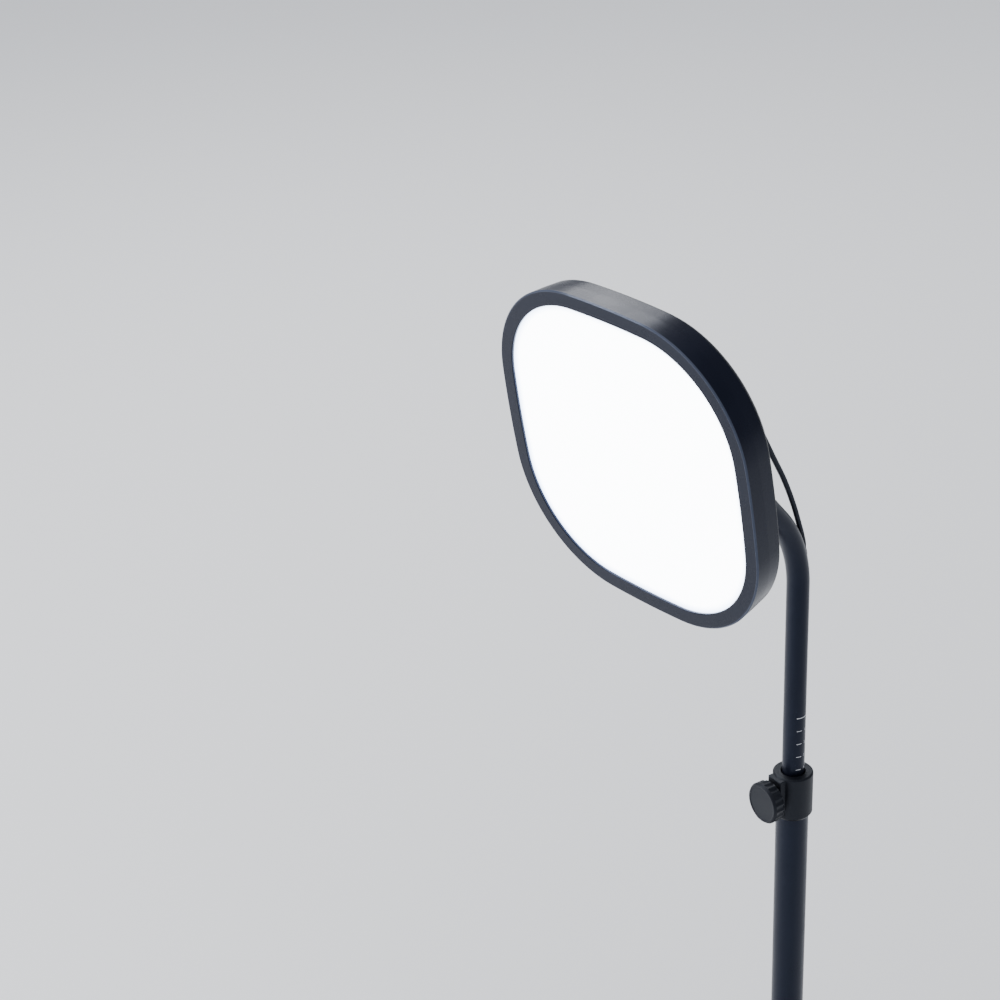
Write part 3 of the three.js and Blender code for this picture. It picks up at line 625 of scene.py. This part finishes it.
def rear_housing():
    rim = rounded([
        (RIM_DRAFT + 0.1, RIM_REAR - 0.3, 0.3), (6.1, BACK_FACE, 1.6), (30, BACK_FACE),
        (30, BACK_INSIDE), (6.8, BACK_INSIDE, 0.4), (6.8, -12), (5.2, -12),
        (5.2, RIM_REAR - 0.3),
    ])
    made = outline_ring(rim)
    made = fused(made, outline_disc([(29.5, BACK_FACE), (29.5, BACK_INSIDE)]))
    posts = [moved(rod(3.4, BACK_INSIDE - 0.5, -9.4), (x, y, 0)) for x, y in REAR_SCREWS]
    made = fused(made, together(*posts))
    cutters = [flared(5.3, 0, 0, 0.5), flared(5.6, 0, JACK_HEIGHT, 0.5), flared(2, *BUTTON_AT)]
    for x, y in REAR_SCREWS:
        well = [(0, -24), (3.7, -24), (3.1, BACK_FACE), (1.7, -20.9), (1.7, -8), (0, -8)]
        cutters.append(moved(turned(well, 40), (x, y, 0)))
    for row in VENT_ROWS:
        for k in range(-2, 3):
            cutters.append(long_slot(k * 8, row, 16, 3, BACK_FACE, -19, 0.35))
    cutters.append(moved(slab((-9.5, 9.5), (-6.5, 6.5), (-24, -19), 0.8, 0), (*ROCKER_AT, 0)))
    made = cut(made, together(*cutters))
    step = turned(rounded([
        (14.5, BACK_FACE - 1), (17.5, BACK_FACE - 1), (17.5, BACK_FACE),
        (17.2, BACK_FACE + 0.3), (14.8, BACK_FACE + 0.3), (14.5, BACK_FACE),
    ]), 96)
    made = cut(made, step)
    finished(made, "rear_shell", PANEL, "panel", PLASTIC, ["rear_housing"])


def cross_cut(reach, width, low, high):
    """A cutter for a cross recess."""
    arms = slab((-reach, reach), (-width, width), (low, high), 0.15, 0)
    return fused(arms, slab((-width, width), (-reach, reach), (low, high), 0.15, 0))


def rear_screws():
    for k, (x, y) in enumerate(REAR_SCREWS):
        profile = rounded([
            (0, -22.3), (2.7, -22.3, 0.15), (1.35, -20.9), (1.35, -7.2), (0, -7.2),
        ], closed=False)
        made = cut(turned(profile, 40), cross_cut(1.5, 0.32, -23, -21.3))
        moved(made, turn=0.5 + k * 0.9)
        finished(moved(made, (x, y, 0)), f"rear_screw_head_{k + 1}", PANEL, "panel", CAST,
                 [f"rear_screw_{k + 1}"])


def switch():
    lip = slab((-10.5, 10.5), (-7.5, 7.5), (-24.2, BACK_FACE - 0.3), 1.2, 0.3)
    body = slab((-9.2, 9.2), (-6.2, 6.2), (BACK_FACE - 1, -11), 0.6, 0)
    made = fused(lip, body)
    made = cut(made, slab((-8, 8), (-4.9, 4.9), (-25, -18.4), 0.5, 0))
    finished(moved(made, (*ROCKER_AT, 0)), "switch_bezel", PANEL, "panel", PLASTIC,
             ["switch_frame"])


def rocker():
    """The rocker's key, leaning on one end, with a bar and a ring moulded on it."""
    outline = rounded([
        (-7.3, -3.4, 0.5), (0, -2.3, 14), (7.3, -3.4, 0.5), (7, 0.6, 0.3), (3.5, 1.6, 1),
        (-3.5, 1.6, 1), (-7, 0.6, 0.3),
    ])
    rings = []
    for y, shrink in ((-4.4, 0.94), (-4.1, 1), (4.1, 1), (4.4, 0.94)):
        rings.append([(p.x * shrink, y, -1 + (p.y + 1) * shrink) for p in outline])
    key = woven(rings)
    bar = slab((4.2, 4.7), (-1.3, 1.3), (-3.16, -2.8), 0.2, 0)
    ring = turned([(0.9, -3.16), (1.3, -3.16), (1.3, -2.8), (0.9, -2.8)], 32)
    key = fused(key, bar, moved(ring, (-4.4, 0, 0)))
    moved(key, turn=math.radians(7), about="Y")
    place = (ROCKER_AT[0], ROCKER_AT[1], -21.4)
    finished(moved(key, place), "rocker_key", PANEL, "rocker", PLASTIC,
             ["power_rocker"])


def reset_button():
    profile = rounded([
        (0, -22.75), (0.9, -22.78, 0.6), (1.7, -22.9, 0.3), (1.7, -20.2), (2.9, -20.2),
        (2.9, -19.3), (0, -19.3),
    ], closed=False)
    finished(moved(turned(profile, 40), (*BUTTON_AT, 0)), "button_cap", PANEL, "reset",
             PLASTIC, ["reset_button"])


def jack_and_plug():
    nose = turned([(2.9, -22.2), (4.9, -22.2), (5.2, -21.9), (5.2, -19), (2.9, -19)], 48)
    box = cut(slab((-5.5, 5.5), (-6, 6), (-20.2, -10), 0.4, 0), rod(2.9, -23, -13.4))
    jack = moved(fused(box, nose), (0, JACK_HEIGHT, 0))
    finished(jack, "jack_body", PANEL, "panel", PLASTIC, ["dc_jack"])
    ribs = []
    for k in range(5):
        z = -39.2 - k * 1.35
        wide = 3.4 - k * 0.14
        ribs += [(wide, z, 0.2), (wide, z - 0.75, 0.2), (2.35, z - 0.75), (2.35, z - 1.35)]
    profile = rounded([
        (0, -13.8), (2.6, -13.8, 0.4), (2.6, -22.8), (4.6, -22.8, 0.4), (5, -24.6, 0.6),
        (5, -30), (4.75, -30.6, 0.5), (4.75, -34.4, 0.5), (5, -35, 0.4), (5, -37, 0.9), *ribs,
        (2.35, -46.5), (0, -46.5),
    ], closed=False)
    plug = moved(turned(profile, 64), (0, JACK_HEIGHT, 0))
    finished(plug, "plug_body", PANEL, "panel", RUBBER, ["dc_plug"])


# ---- ball head ------------------------------------------------------------------------
SOCKET_RADIUS = BALL_RADIUS + 0.4


def ball_housing():
    low = 2.5 - POLE_END
    profile = rounded([
        (0, low), (9.5, low, 0.6), (HOUSING_RADIUS, low + 6, 2.5), (HOUSING_RADIUS, -11, 0.3),
        (HOUSING_RADIUS - 0.5, -10.5), (HOUSING_RADIUS - 0.5, -9.7),
        (HOUSING_RADIUS, -9.2, 0.3), (HOUSING_RADIUS, 2.2, 0.8),
        (HOUSING_RADIUS - 1.6, 3.5, 0.5), (0, 3.5),
    ], closed=False)
    turns = [math.pi * k / 32 for k in range(33)]
    socket = [(SOCKET_RADIUS * math.sin(t), -SOCKET_RADIUS * math.cos(t)) for t in turns]
    made = cut(
        turned(profile, 96), turned(socket, 64), rod(8.6, -13, -2, 64), rod(3.3, low - 1, -18),
        slot_cutter(), moved(along_x(rod(2.8, 5, 16)), (0, 0, -8)),
    )
    finished(made, "housing_body", HEAD, "head_housing", PAINT, ["ball_housing"])


def slot_cutter():
    """The notch that lets the ball's stem lie square to the housing."""
    outline = rounded([(-4.7, -4.8, 4.4), (4.7, -4.8, 4.4), (4.7, 6), (-4.7, 6)], steps=10)
    return woven([[(p.x, y, p.y) for p in outline] for y in (-14, 0)])


def ball_stud():
    turns = [math.pi * k / 40 for k in range(34)]
    arc = [(BALL_RADIUS * math.sin(t), -BALL_RADIUS * math.cos(t)) for t in turns]
    thread = []
    for k in range(13):
        z = 21 + k * 1.2
        thread += [(3.1, z), (2.75, z + 0.6)]
    profile = [p for p in arc if p[1] < 6.6] + [(4.3, 6.9), (4, 7.8), (4, 19.5), (3.1, 20.5)]
    profile += thread + [(3.1, 36), (0, 36)]
    finished(turned(profile, 64), "ball_and_stem", STUD, "ball", STEEL, ["ball_stud"])


def knurled(count, depth, low, high, least):
    """Ribs along the side of a turned shape, between two heights."""
    def ripple(radius, z, angle):
        if radius < least or not low <= z <= high:
            return radius
        wave = 0.5 - 0.5 * math.cos(count * angle)
        return radius - depth * wave ** 0.7
    return ripple


def lock_wheel():
    profile = rounded([
        (3.5, 21.3, 0.2), (11.3, 21.3, 0.2), (12, 22, 0.3), (12, 26.2, 0.3), (11.3, 26.9, 0.2),
        (3.5, 26.9, 0.2),
    ])
    made = turned(profile, 240, knurled(40, 0.7, 21.9, 26.3, 11.7))
    finished(made, "wheel_body", STUD, "lock_wheel", PLASTIC, ["lock_wheel"])


def ball_lock():
    def lobes(radius, z, angle):
        return radius * (1 + 0.108 * math.cos(5 * angle)) if radius > 6 else radius
    start = HOUSING_RADIUS + 2.2
    profile = rounded([
        (2.8, start - 1.5), (4.2, start - 1.5, 0.2), (4.2, start), (7.9, start, 0.4),
        (8.3, start + 1, 0.8), (8.3, start + 8, 1.2), (7, start + 8.8, 0.8),
        (6.1, start + 8.8, 0.3), (5.6, start + 8.2, 0.4), (0, start + 8.2),
        (0, start + 6), (2.8, start + 6),
    ], closed=False)
    knob = turned([*profile, profile[0]], 160, lobes)
    finished(knob, "lock_knob_body", LOCK, "ball_lock", PLASTIC,
             ["ball_lock_knob"])
    screw = rod(2.5, BALL_RADIUS + 0.7, HOUSING_RADIUS + 7.8, 32, 0.3)
    finished(screw, "lock_screw_body", LOCK, "ball_lock", STEEL, ["ball_lock_screw"])


# ---- pole -----------------------------------------------------------------------------
def pole_line(bottom, straight, steps=40):
    """Points and directions along the pole's centre line, as (y, z, lean)."""
    line = [(0, bottom, 0)]
    for k in range(steps + 1):
        lean = bend_turn * k / steps
        y = -BEND_RADIUS * (1 - math.cos(lean))
        line.append((y, BEND_START + BEND_RADIUS * math.sin(lean), lean))
    y, z, lean = line[-1]
    line.append((y - straight * math.sin(lean), z + straight * math.cos(lean), lean))
    return line


def piped(line, profile_radii, sides=64):
    """A tube, or a rod where one radius is given, along (y, z, lean) stations."""
    rings = []
    stations = [(station, profile_radii[0]) for station in line]
    if len(profile_radii) > 1:
        stations += [(station, profile_radii[1]) for station in reversed(line)]
    for (y, z, lean), radius in stations:
        ring = []
        for k in range(sides):
            turn = TURN * k / sides
            across = radius * math.sin(turn)
            ring.append((
                radius * math.cos(turn),
                y + across * math.cos(lean),
                z + across * math.sin(lean),
            ))
        rings.append(ring)
    return woven(rings, closed_way=len(profile_radii) > 1)


SPAN_STEPS = 8  # points on each span of the lead's route


def smooth_route(points):
    """A centripetal curve through the route's points, as (y, z) pairs."""
    knots = [Vector(point) for point in points]
    ends = [2 * knots[0] - knots[1], *knots, 2 * knots[-1] - knots[-2]]
    line = []
    for k in range(1, len(ends) - 2):
        span = ends[k - 1:k + 3]
        times = [0.0]
        for a, b in zip(span, span[1:]):
            times.append(times[-1] + max((b - a).length, 1e-6) ** 0.5)
        for step in range(SPAN_STEPS):
            t = times[1] + (times[2] - times[1]) * step / SPAN_STEPS
            line.append(on_span(span, times, t))
    line.append(knots[-1])
    return line


def on_span(points, times, t):
    """One point of the span between the middle two of four knots, from blended lines."""
    def blend(a, b, first, last):
        return a.lerp(b, (t - times[first]) / (times[last] - times[first]))
    sides = [blend(points[k], points[k + 1], k, k + 1) for k in range(3)]
    curves = [blend(sides[k], sides[k + 1], k, k + 2) for k in range(2)]
    return blend(*curves, 1, 2)


def stations_of(line):
    """(y, z, lean) stations from a list of (y, z) points."""
    stations = []
    for k, point in enumerate(line):
        before = line[max(k - 1, 0)]
        after = line[min(k + 1, len(line) - 1)]
        way = after - before
        stations.append((point.x, point.y, math.atan2(-way.x, way.y)))
    return stations


lead_line = smooth_route(LEAD_ROUTE)
bend_y = -BEND_RADIUS * (1 - math.cos(bend_turn)) * MM
bend_z = (BEND_START + BEND_RADIUS * math.sin(bend_turn)) * MM
straight_length = (ball_centre - Vector((0, bend_y, bend_z))).length / MM - POLE_END


# The heights between which the lead passes through the tube's wall.
HOLE_LOW = 474
HOLE_HIGH = 496.5
BEND_BACK = -12  # the lead inside the bend is never further forward than this


def lead_between(low, high, radius, sides=24):
    """The lead's route between two heights inside the pole's bend, as a rod."""
    part = [p for p in lead_line if low <= p.y <= high and p.x > BEND_BACK]
    return piped(stations_of(part), [radius], sides)


def upper_tube():
    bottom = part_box("upper_tube")[0].z / MM
    tube = piped(pole_line(bottom, straight_length), [UPPER_RADIUS, UPPER_BORE], 96)
    tube = cut(tube, lead_between(HOLE_LOW, HOLE_HIGH, 3.2, 32))
    finished(tube, "pole_upper", ROW, "upper_pole", PAINT, ["upper_tube"])


def lead_grommet():
    bend = pole_line(BEND_START + 2, 2)
    ring = lead_between(HOLE_LOW, HOLE_HIGH, 3.1, 48)
    ring = combined(ring, [piped(bend, [UPPER_RADIUS + 0.75], 96)], "INTERSECT")
    inside = piped(bend, [UPPER_BORE + 0.3], 96)
    passage = lead_between(HOLE_LOW - 4, HOLE_HIGH + 3.5, 2.0, 32)
    ring = cut(ring, inside, passage)
    finished(ring, "grommet_ring", ROW, "upper_pole", RUBBER, ["lead_grommet"])


def wrapped(flat, height):
    """Wraps a flat (along the girth, up) shape round the upper tube at a height."""
    for vertex in flat.data.vertices:
        girth, up, proud = vertex.co
        turn = girth / UPPER_RADIUS
        reach = UPPER_RADIUS + proud
        vertex.co = (reach * math.sin(turn), -reach * math.cos(turn), height + up)
    return flat


INK_PROUD = 0.045
INK_SUNK = 0.02
NUMERAL_SIZE = 2.9
NUMERAL_DEPTH = 0.032
NUMERAL_LIFT = 0.012


def tick(start, end, height, thick=0.42):
    """A printed line round part of the upper tube, between two directions in degrees."""
    steps = max(2, round((end - start) / 4))
    girths = [math.radians(start + (end - start) * k / steps) * UPPER_RADIUS
              for k in range(steps + 1)]
    half = thick / 2
    rings = []
    for girth in girths:
        rings.append([
            (girth, -half, -INK_SUNK), (girth, half, -INK_SUNK),
            (girth, half, INK_PROUD), (girth, -half, INK_PROUD),
        ])
    return wrapped(woven(rings), height)


def numeral(text, middle, height):
    """A printed number, upright, centred on a direction in degrees."""
    curve = bpy.data.curves.new("numeral", "FONT")
    curve.body = text
    curve.size = NUMERAL_SIZE
    curve.align_x = "CENTER"
    curve.align_y = "CENTER"
    curve.extrude = NUMERAL_DEPTH
    holder = linked("numeral", curve)
    bpy.context.view_layer.update()
    graph = bpy.context.evaluated_depsgraph_get()
    mesh = bpy.data.meshes.new_from_object(holder.evaluated_get(graph))
    bpy.data.objects.remove(holder)
    offset = math.radians(middle) * UPPER_RADIUS
    made = moved(linked("shape", mesh), (offset, 0, NUMERAL_LIFT))
    return wrapped(made, height)


def scale_marks():
    marks = [tick(54, 122, SCALE_TOP, 0.55)]
    for k in range(1, SCALE_MARKS):
        height = SCALE_TOP - k * SCALE_PITCH
        marks.append(tick(56, 84, height))
        marks.append(numeral(str(k), 107, height))
    finished(together(*marks), "scale_print", ROW, "upper_pole", INK, [])


def lower_tube():
    low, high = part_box("lower_tube")
    profile = rounded([
        (LOWER_RADIUS, low.z / MM, 0.3), (LOWER_RADIUS, high.z / MM, 0.3),
        (LOWER_BORE, high.z / MM), (LOWER_BORE, low.z / MM),
    ])
    inlet_hole = moved(along_y(rod(INLET_RADIUS, 0, 14)), (0, 0, INLET_HEIGHT))
    height = pivot("clamp_knob_turn").z / MM
    knob_turn = math.atan2(knob_axis.x, -knob_axis.y)
    screw_hole = moved(along_y(rod(3.3, -14, 0)), (0, 0, height), knob_turn)
    made = cut(turned(profile, 128), inlet_hole, screw_hole)
    finished(made, "pole_lower", ROW, "base", PAINT, ["lower_tube"])


# ---- clamp ----------------------------------------------------------------------------
def clamp_collar():
    height = pivot("clamp_knob_turn").z / MM
    low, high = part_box("clamp_collar")
    bottom = low.z / MM - height
    top = high.z / MM - height
    ring = turned(rounded([
        (LOWER_RADIUS + 0.3, bottom), (COLLAR_RADIUS - 1.4, bottom, 0.3),
        (COLLAR_RADIUS, bottom + 2.2, 0.8), (COLLAR_RADIUS, top - 0.9, 0.5),
        (COLLAR_RADIUS - 0.9, top, 0.4), (UPPER_RADIUS + 0.9, top, 0.3),
        (UPPER_RADIUS + 0.5, top - 0.5), (UPPER_RADIUS + 0.5, top - 4.3),
        (LOWER_RADIUS + 0.3, top - 4.3),
    ]), 128)
    half = LUG_WIDTH / 2
    outline = rounded([
        (-half, LUG_BOTTOM, 1.2), (half, LUG_BOTTOM, 1.2), (half, LUG_TOP, 0.6),
        (-half, LUG_TOP, 0.6),
    ])
    rings = []
    for y, shrink in ((-LUG_FACE, 0.5), (-LUG_FACE + 0.5, 0), (-11.8, 0)):
        rings.append([(
            p.x - math.copysign(shrink, p.x), y, p.y - math.copysign(shrink, p.y)
        ) for p in outline])
    made = fused(ring, woven(rings))
    made = cut(made, along_y(rod(3.2, -20, -8)))
    finished(made, "collar_body", CLAMP, "base", PLASTIC, ["clamp_collar"])


def clamp_knob():
    back = LUG_FACE + 0.8
    profile = rounded([
        (3.2, back), (6.5, back, 0.2), (6.5, back + 0.9), (KNOB_RADIUS - 1, back + 0.9, 0.3),
        (KNOB_RADIUS, back + 1.9, 0.5), (KNOB_RADIUS, KNOB_FACE - 1.5, 0.3),
        (KNOB_RADIUS - 1.1, KNOB_FACE, 0.35), (KNOB_RADIUS - 2.2, KNOB_FACE, 0.3),
        (KNOB_RADIUS - 2.6, KNOB_FACE - 0.3, 0.3), (0, KNOB_FACE - 0.35), (0, KNOB_FACE - 3.2),
        (3.2, KNOB_FACE - 3.2),
    ], closed=False)
    ribs = knurled(20, 1.25, back + 1.5, KNOB_FACE - 1.6, KNOB_RADIUS - 0.6)
    made = turned([*profile, profile[0]], 288, ribs)
    finished(made, "knob_body", KNOB, "clamp", PLASTIC, ["clamp_knob"])
    screw = rod(2.9, 9.8, KNOB_FACE - 3.5, 32, 0.4)
    finished(screw, "knob_screw", KNOB, "clamp", STEEL, ["clamp_screw"])


# ---- base -----------------------------------------------------------------------------
def base_cover():
    low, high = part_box("base_cover")
    radius = high.x / MM
    foot = low.z / MM
    top = high.z / MM
    profile = rounded([
        (radius - 1.3, foot), (radius, foot, 0.4), (radius, 9.5, 3), (radius - 1.4, 12.6, 3),
        (radius - 4.5, top, 2.5), (4.3, top), (4.3, top - 1.3), (radius - 4.9, top - 1.3),
        (radius - 1.3, 8.4),
    ], steps=6)
    finished(turned(profile, 192), "base_shell", ROW, "base", PAINT,
             ["base_cover"])


def pole_socket():
    low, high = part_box("pole_socket")
    radius = high.x / MM
    start = low.z / MM
    flange = start + 4
    spigot = LOWER_BORE - 0.3
    profile = rounded([
        (4.3, start), (radius, start, 0.2), (radius, start + 2.4, 0.8),
        (radius - 1.6, flange, 0.8), (spigot, flange), (spigot, high.z / MM), (4.3, high.z / MM),
    ])
    finished(turned(profile, 128), "socket_body", ROW, "base", PAINT,
             ["pole_socket"])


def rubber_pad():
    profile = rounded([(0, 0), (87, 0), (88, 1, 0.5), (88, 2), (0, 2)], closed=False)
    finished(turned(profile, 160), "foot_pad", ROW, "base", RUBBER,
             ["rubber_pad"])


NUT_REACH = 6.6  # from its middle to a corner


def inlet():
    corners = [TURN * k / 6 for k in range(6)]
    hexagon = [Vector((math.cos(turn), math.sin(turn))) * NUT_REACH for turn in corners]
    nut = cut(prism(hexagon, 11.3, 14, 0.35), rod(INLET_RADIUS, 10, 15))
    nut = moved(along_y(nut), (0, 0, INLET_HEIGHT))
    finished(nut, "nut_body", ROW, "base", STEEL, ["inlet_nut"])
    profile = [(0, -3), (4, -3), (4, 11)]
    for k in range(4):
        profile += [(4, 11.2 + k * 1.2), (3.75, 11.8 + k * 1.2)]
    profile += [
        (4, 16.1), (3.7, 16.5), (2.8, 16.5), (2.8, 7), (1, 7), (1, 14), (0.6, 14.6), (0, 14.6),
    ]
    body = moved(along_y(turned(profile, 64)), (0, 0, INLET_HEIGHT))
    finished(body, "inlet_body", ROW, "base", PLASTIC, ["dc_inlet"])


# ---- lead -----------------------------------------------------------------------------
# The bodies that each stretch of the lead joins, and the route's points where it starts
# and ends: the last is where it meets the pole.
LEAD_STRETCHES = [
    ("panel", "ball", 0, 2),
    ("ball", "head_housing", 2, 5),
    ("head_housing", "upper_pole", 5, 12),
]


def power_lead():
    """The lead in three stretches, each of which runs from one body to the next across one joint."""
    for first_body, second_body, start, end in LEAD_STRETCHES:
        part = lead_line[start * SPAN_STEPS:end * SPAN_STEPS + 1]
        made = piped(stations_of(part), [LEAD_RADIUS], 24)
        name = f"lead_{first_body}_to_{second_body}"
        finished(made, name, ROW, None, CABLE, ["power_lead"])
        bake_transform(made)


COIL_TURNS = 10
COIL_RADIUS = 6.6
CORE_RADIUS = 1.5
INLET_TOP = 38


def curly_lead():
    """The coiled stretch in the lower tube."""
    low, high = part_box("coil_lead")
    bottom = low.z / MM + 2
    top = high.z / MM - 2
    steps = COIL_TURNS * 20
    route = [Vector((0, 0, INLET_TOP + 0.3)), Vector((2, 0, bottom - 2))]
    for k in range(steps + 1):
        turn = TURN * COIL_TURNS * k / steps
        reach = COIL_RADIUS * min(1, 0.45 + 2.2 * min(k, steps - k) / steps * COIL_TURNS)
        height = bottom + (top - bottom) * k / steps
        route.append(Vector((reach * math.cos(turn), reach * math.sin(turn), height)))
    route += [Vector((1.6, 0, top + 1.6)), Vector((0, 0, top + 4.6))]
    made = corded(route, CORE_RADIUS)
    finished(made, "curly_lead", ROW, None, CABLE, ["coil_lead"])
    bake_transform(made)


def corded(route, radius, sides=10):
    """A round cord along a route of points, with its rings carried on without a twist."""
    rings = []
    side = RIGHT
    for k, point in enumerate(route):
        way = (route[min(k + 1, len(route) - 1)] - route[max(k - 1, 0)]).normalized()
        side = (side - way * side.dot(way)).normalized()
        other = way.cross(side)
        ring = []
        for j in range(sides):
            turn = TURN * j / sides
            ring.append(point + (side * math.cos(turn) + other * math.sin(turn)) * radius)
        rings.append(ring)
    return woven(rings)


# ---- CAD pieces that stay -------------------------------------------------------------
# The finish of each CAD piece that no finer piece stands for.
KEPT = {
    "base_weight": CAST, "base_bolt": STEEL, "base_washer": STEEL,
    "inner_lead": CABLE, "collar_liner": NYLON, "brake_shoe": NYLON, "pole_guide_bush": NYLON,
    "pole_end_stud": STEEL, "ball_seat": NYLON, "diffuser_film": WHITE,
    "light_guide_plate": WHITE, "reflector_sheet": WHITE, "chassis_plate": ALUMINIUM,
    "mount_insert": BRASS, "control_board": BOARD, "driver_board": BOARD, "wifi_module": STEEL,
    "tact_switch": PLASTIC, "inductor": CAST, "capacitor": ALUMINIUM,
}


def kept_pieces():
    for number in range(1, 5):
        KEPT[f"led_strip_{number}"] = NYLON
        KEPT[f"board_screw_{number}"] = STEEL
    for name, finish in KEPT.items():
        made = frame["nodes"][name]
        made.data.materials.clear()
        made.data.materials.append(finish)


# ---- studio ---------------------------------------------------------------------------
FLOOR_REACH = 16  # metres


def floor():
    made = bpy.data.materials.new("studio_floor")
    made.use_nodes = True
    shader = made.node_tree.nodes["Principled BSDF"]
    shader.inputs["Base Color"].default_value = (0.82, 0.83, 0.85, 1)
    shader.inputs["Roughness"].default_value = 0.75
    reach = FLOOR_REACH
    corners = [(-reach, -reach, 0), (reach, -reach, 0), (reach, reach, 0), (-reach, reach, 0)]
    mesh = bpy.data.meshes.new("floor")
    mesh.from_pydata(corners, [], [(0, 1, 2, 3)])
    mesh.materials.append(made)
    ground = linked("floor", mesh)


def area_light(name, place, aim, size, power):
    data = bpy.data.lights.new(name, "AREA")
    data.shape = "RECTANGLE"
    data.size, data.size_y = size
    data.energy = power
    made = linked(name, data)
    away = (Vector(place) - Vector(aim)).normalized()
    made.matrix_world = placed(Vector(place), away, UP.cross(away))
    made.visible_camera = False


KEY_POWER = 30
RIM_POWER = 32
LOW_POWER = 6
SUN_POWER = 1.7
SUN_SPREAD = math.radians(70)
SKY_STRENGTH = 0.5


def studio():
    world = bpy.data.worlds.new("studio")
    world.use_nodes = True
    background = world.node_tree.nodes["Background"]
    background.inputs["Color"].default_value = (0.86, 0.9, 1.0, 1)
    background.inputs["Strength"].default_value = SKY_STRENGTH
    bpy.context.scene.world = world
    middle = (0, -0.05, 0.5)
    sun = bpy.data.lights.new("overhead", "SUN")
    sun.energy = SUN_POWER
    sun.angle = SUN_SPREAD
    sky = linked("overhead", sun)
    sky.matrix_world = placed(Vector((0, 0, 3)), (-0.35, -0.12, 1), RIGHT)
    area_light("key", (-1.6, -1.7, 1.6), middle, (0.7, 0.7), KEY_POWER)
    area_light("rim", (-1.7, 0.8, 2.05), middle, (1.3, 1.3), RIM_POWER)
    area_light("low", (-0.8, -1.35, 0.42), (0, 0, 0.35), (0.45, 0.8), LOW_POWER)


make_camera()
power_lead()
curly_lead()
front_frame()
diffuser()
rear_housing()
rear_screws()
switch()
rocker()
reset_button()
jack_and_plug()
ball_housing()
ball_stud()
lock_wheel()
ball_lock()
upper_tube()
lead_grommet()
scale_marks()
lower_tube()
clamp_collar()
clamp_knob()
base_cover()
pole_socket()
rubber_pad()
inlet()
kept_pieces()
floor()
studio()
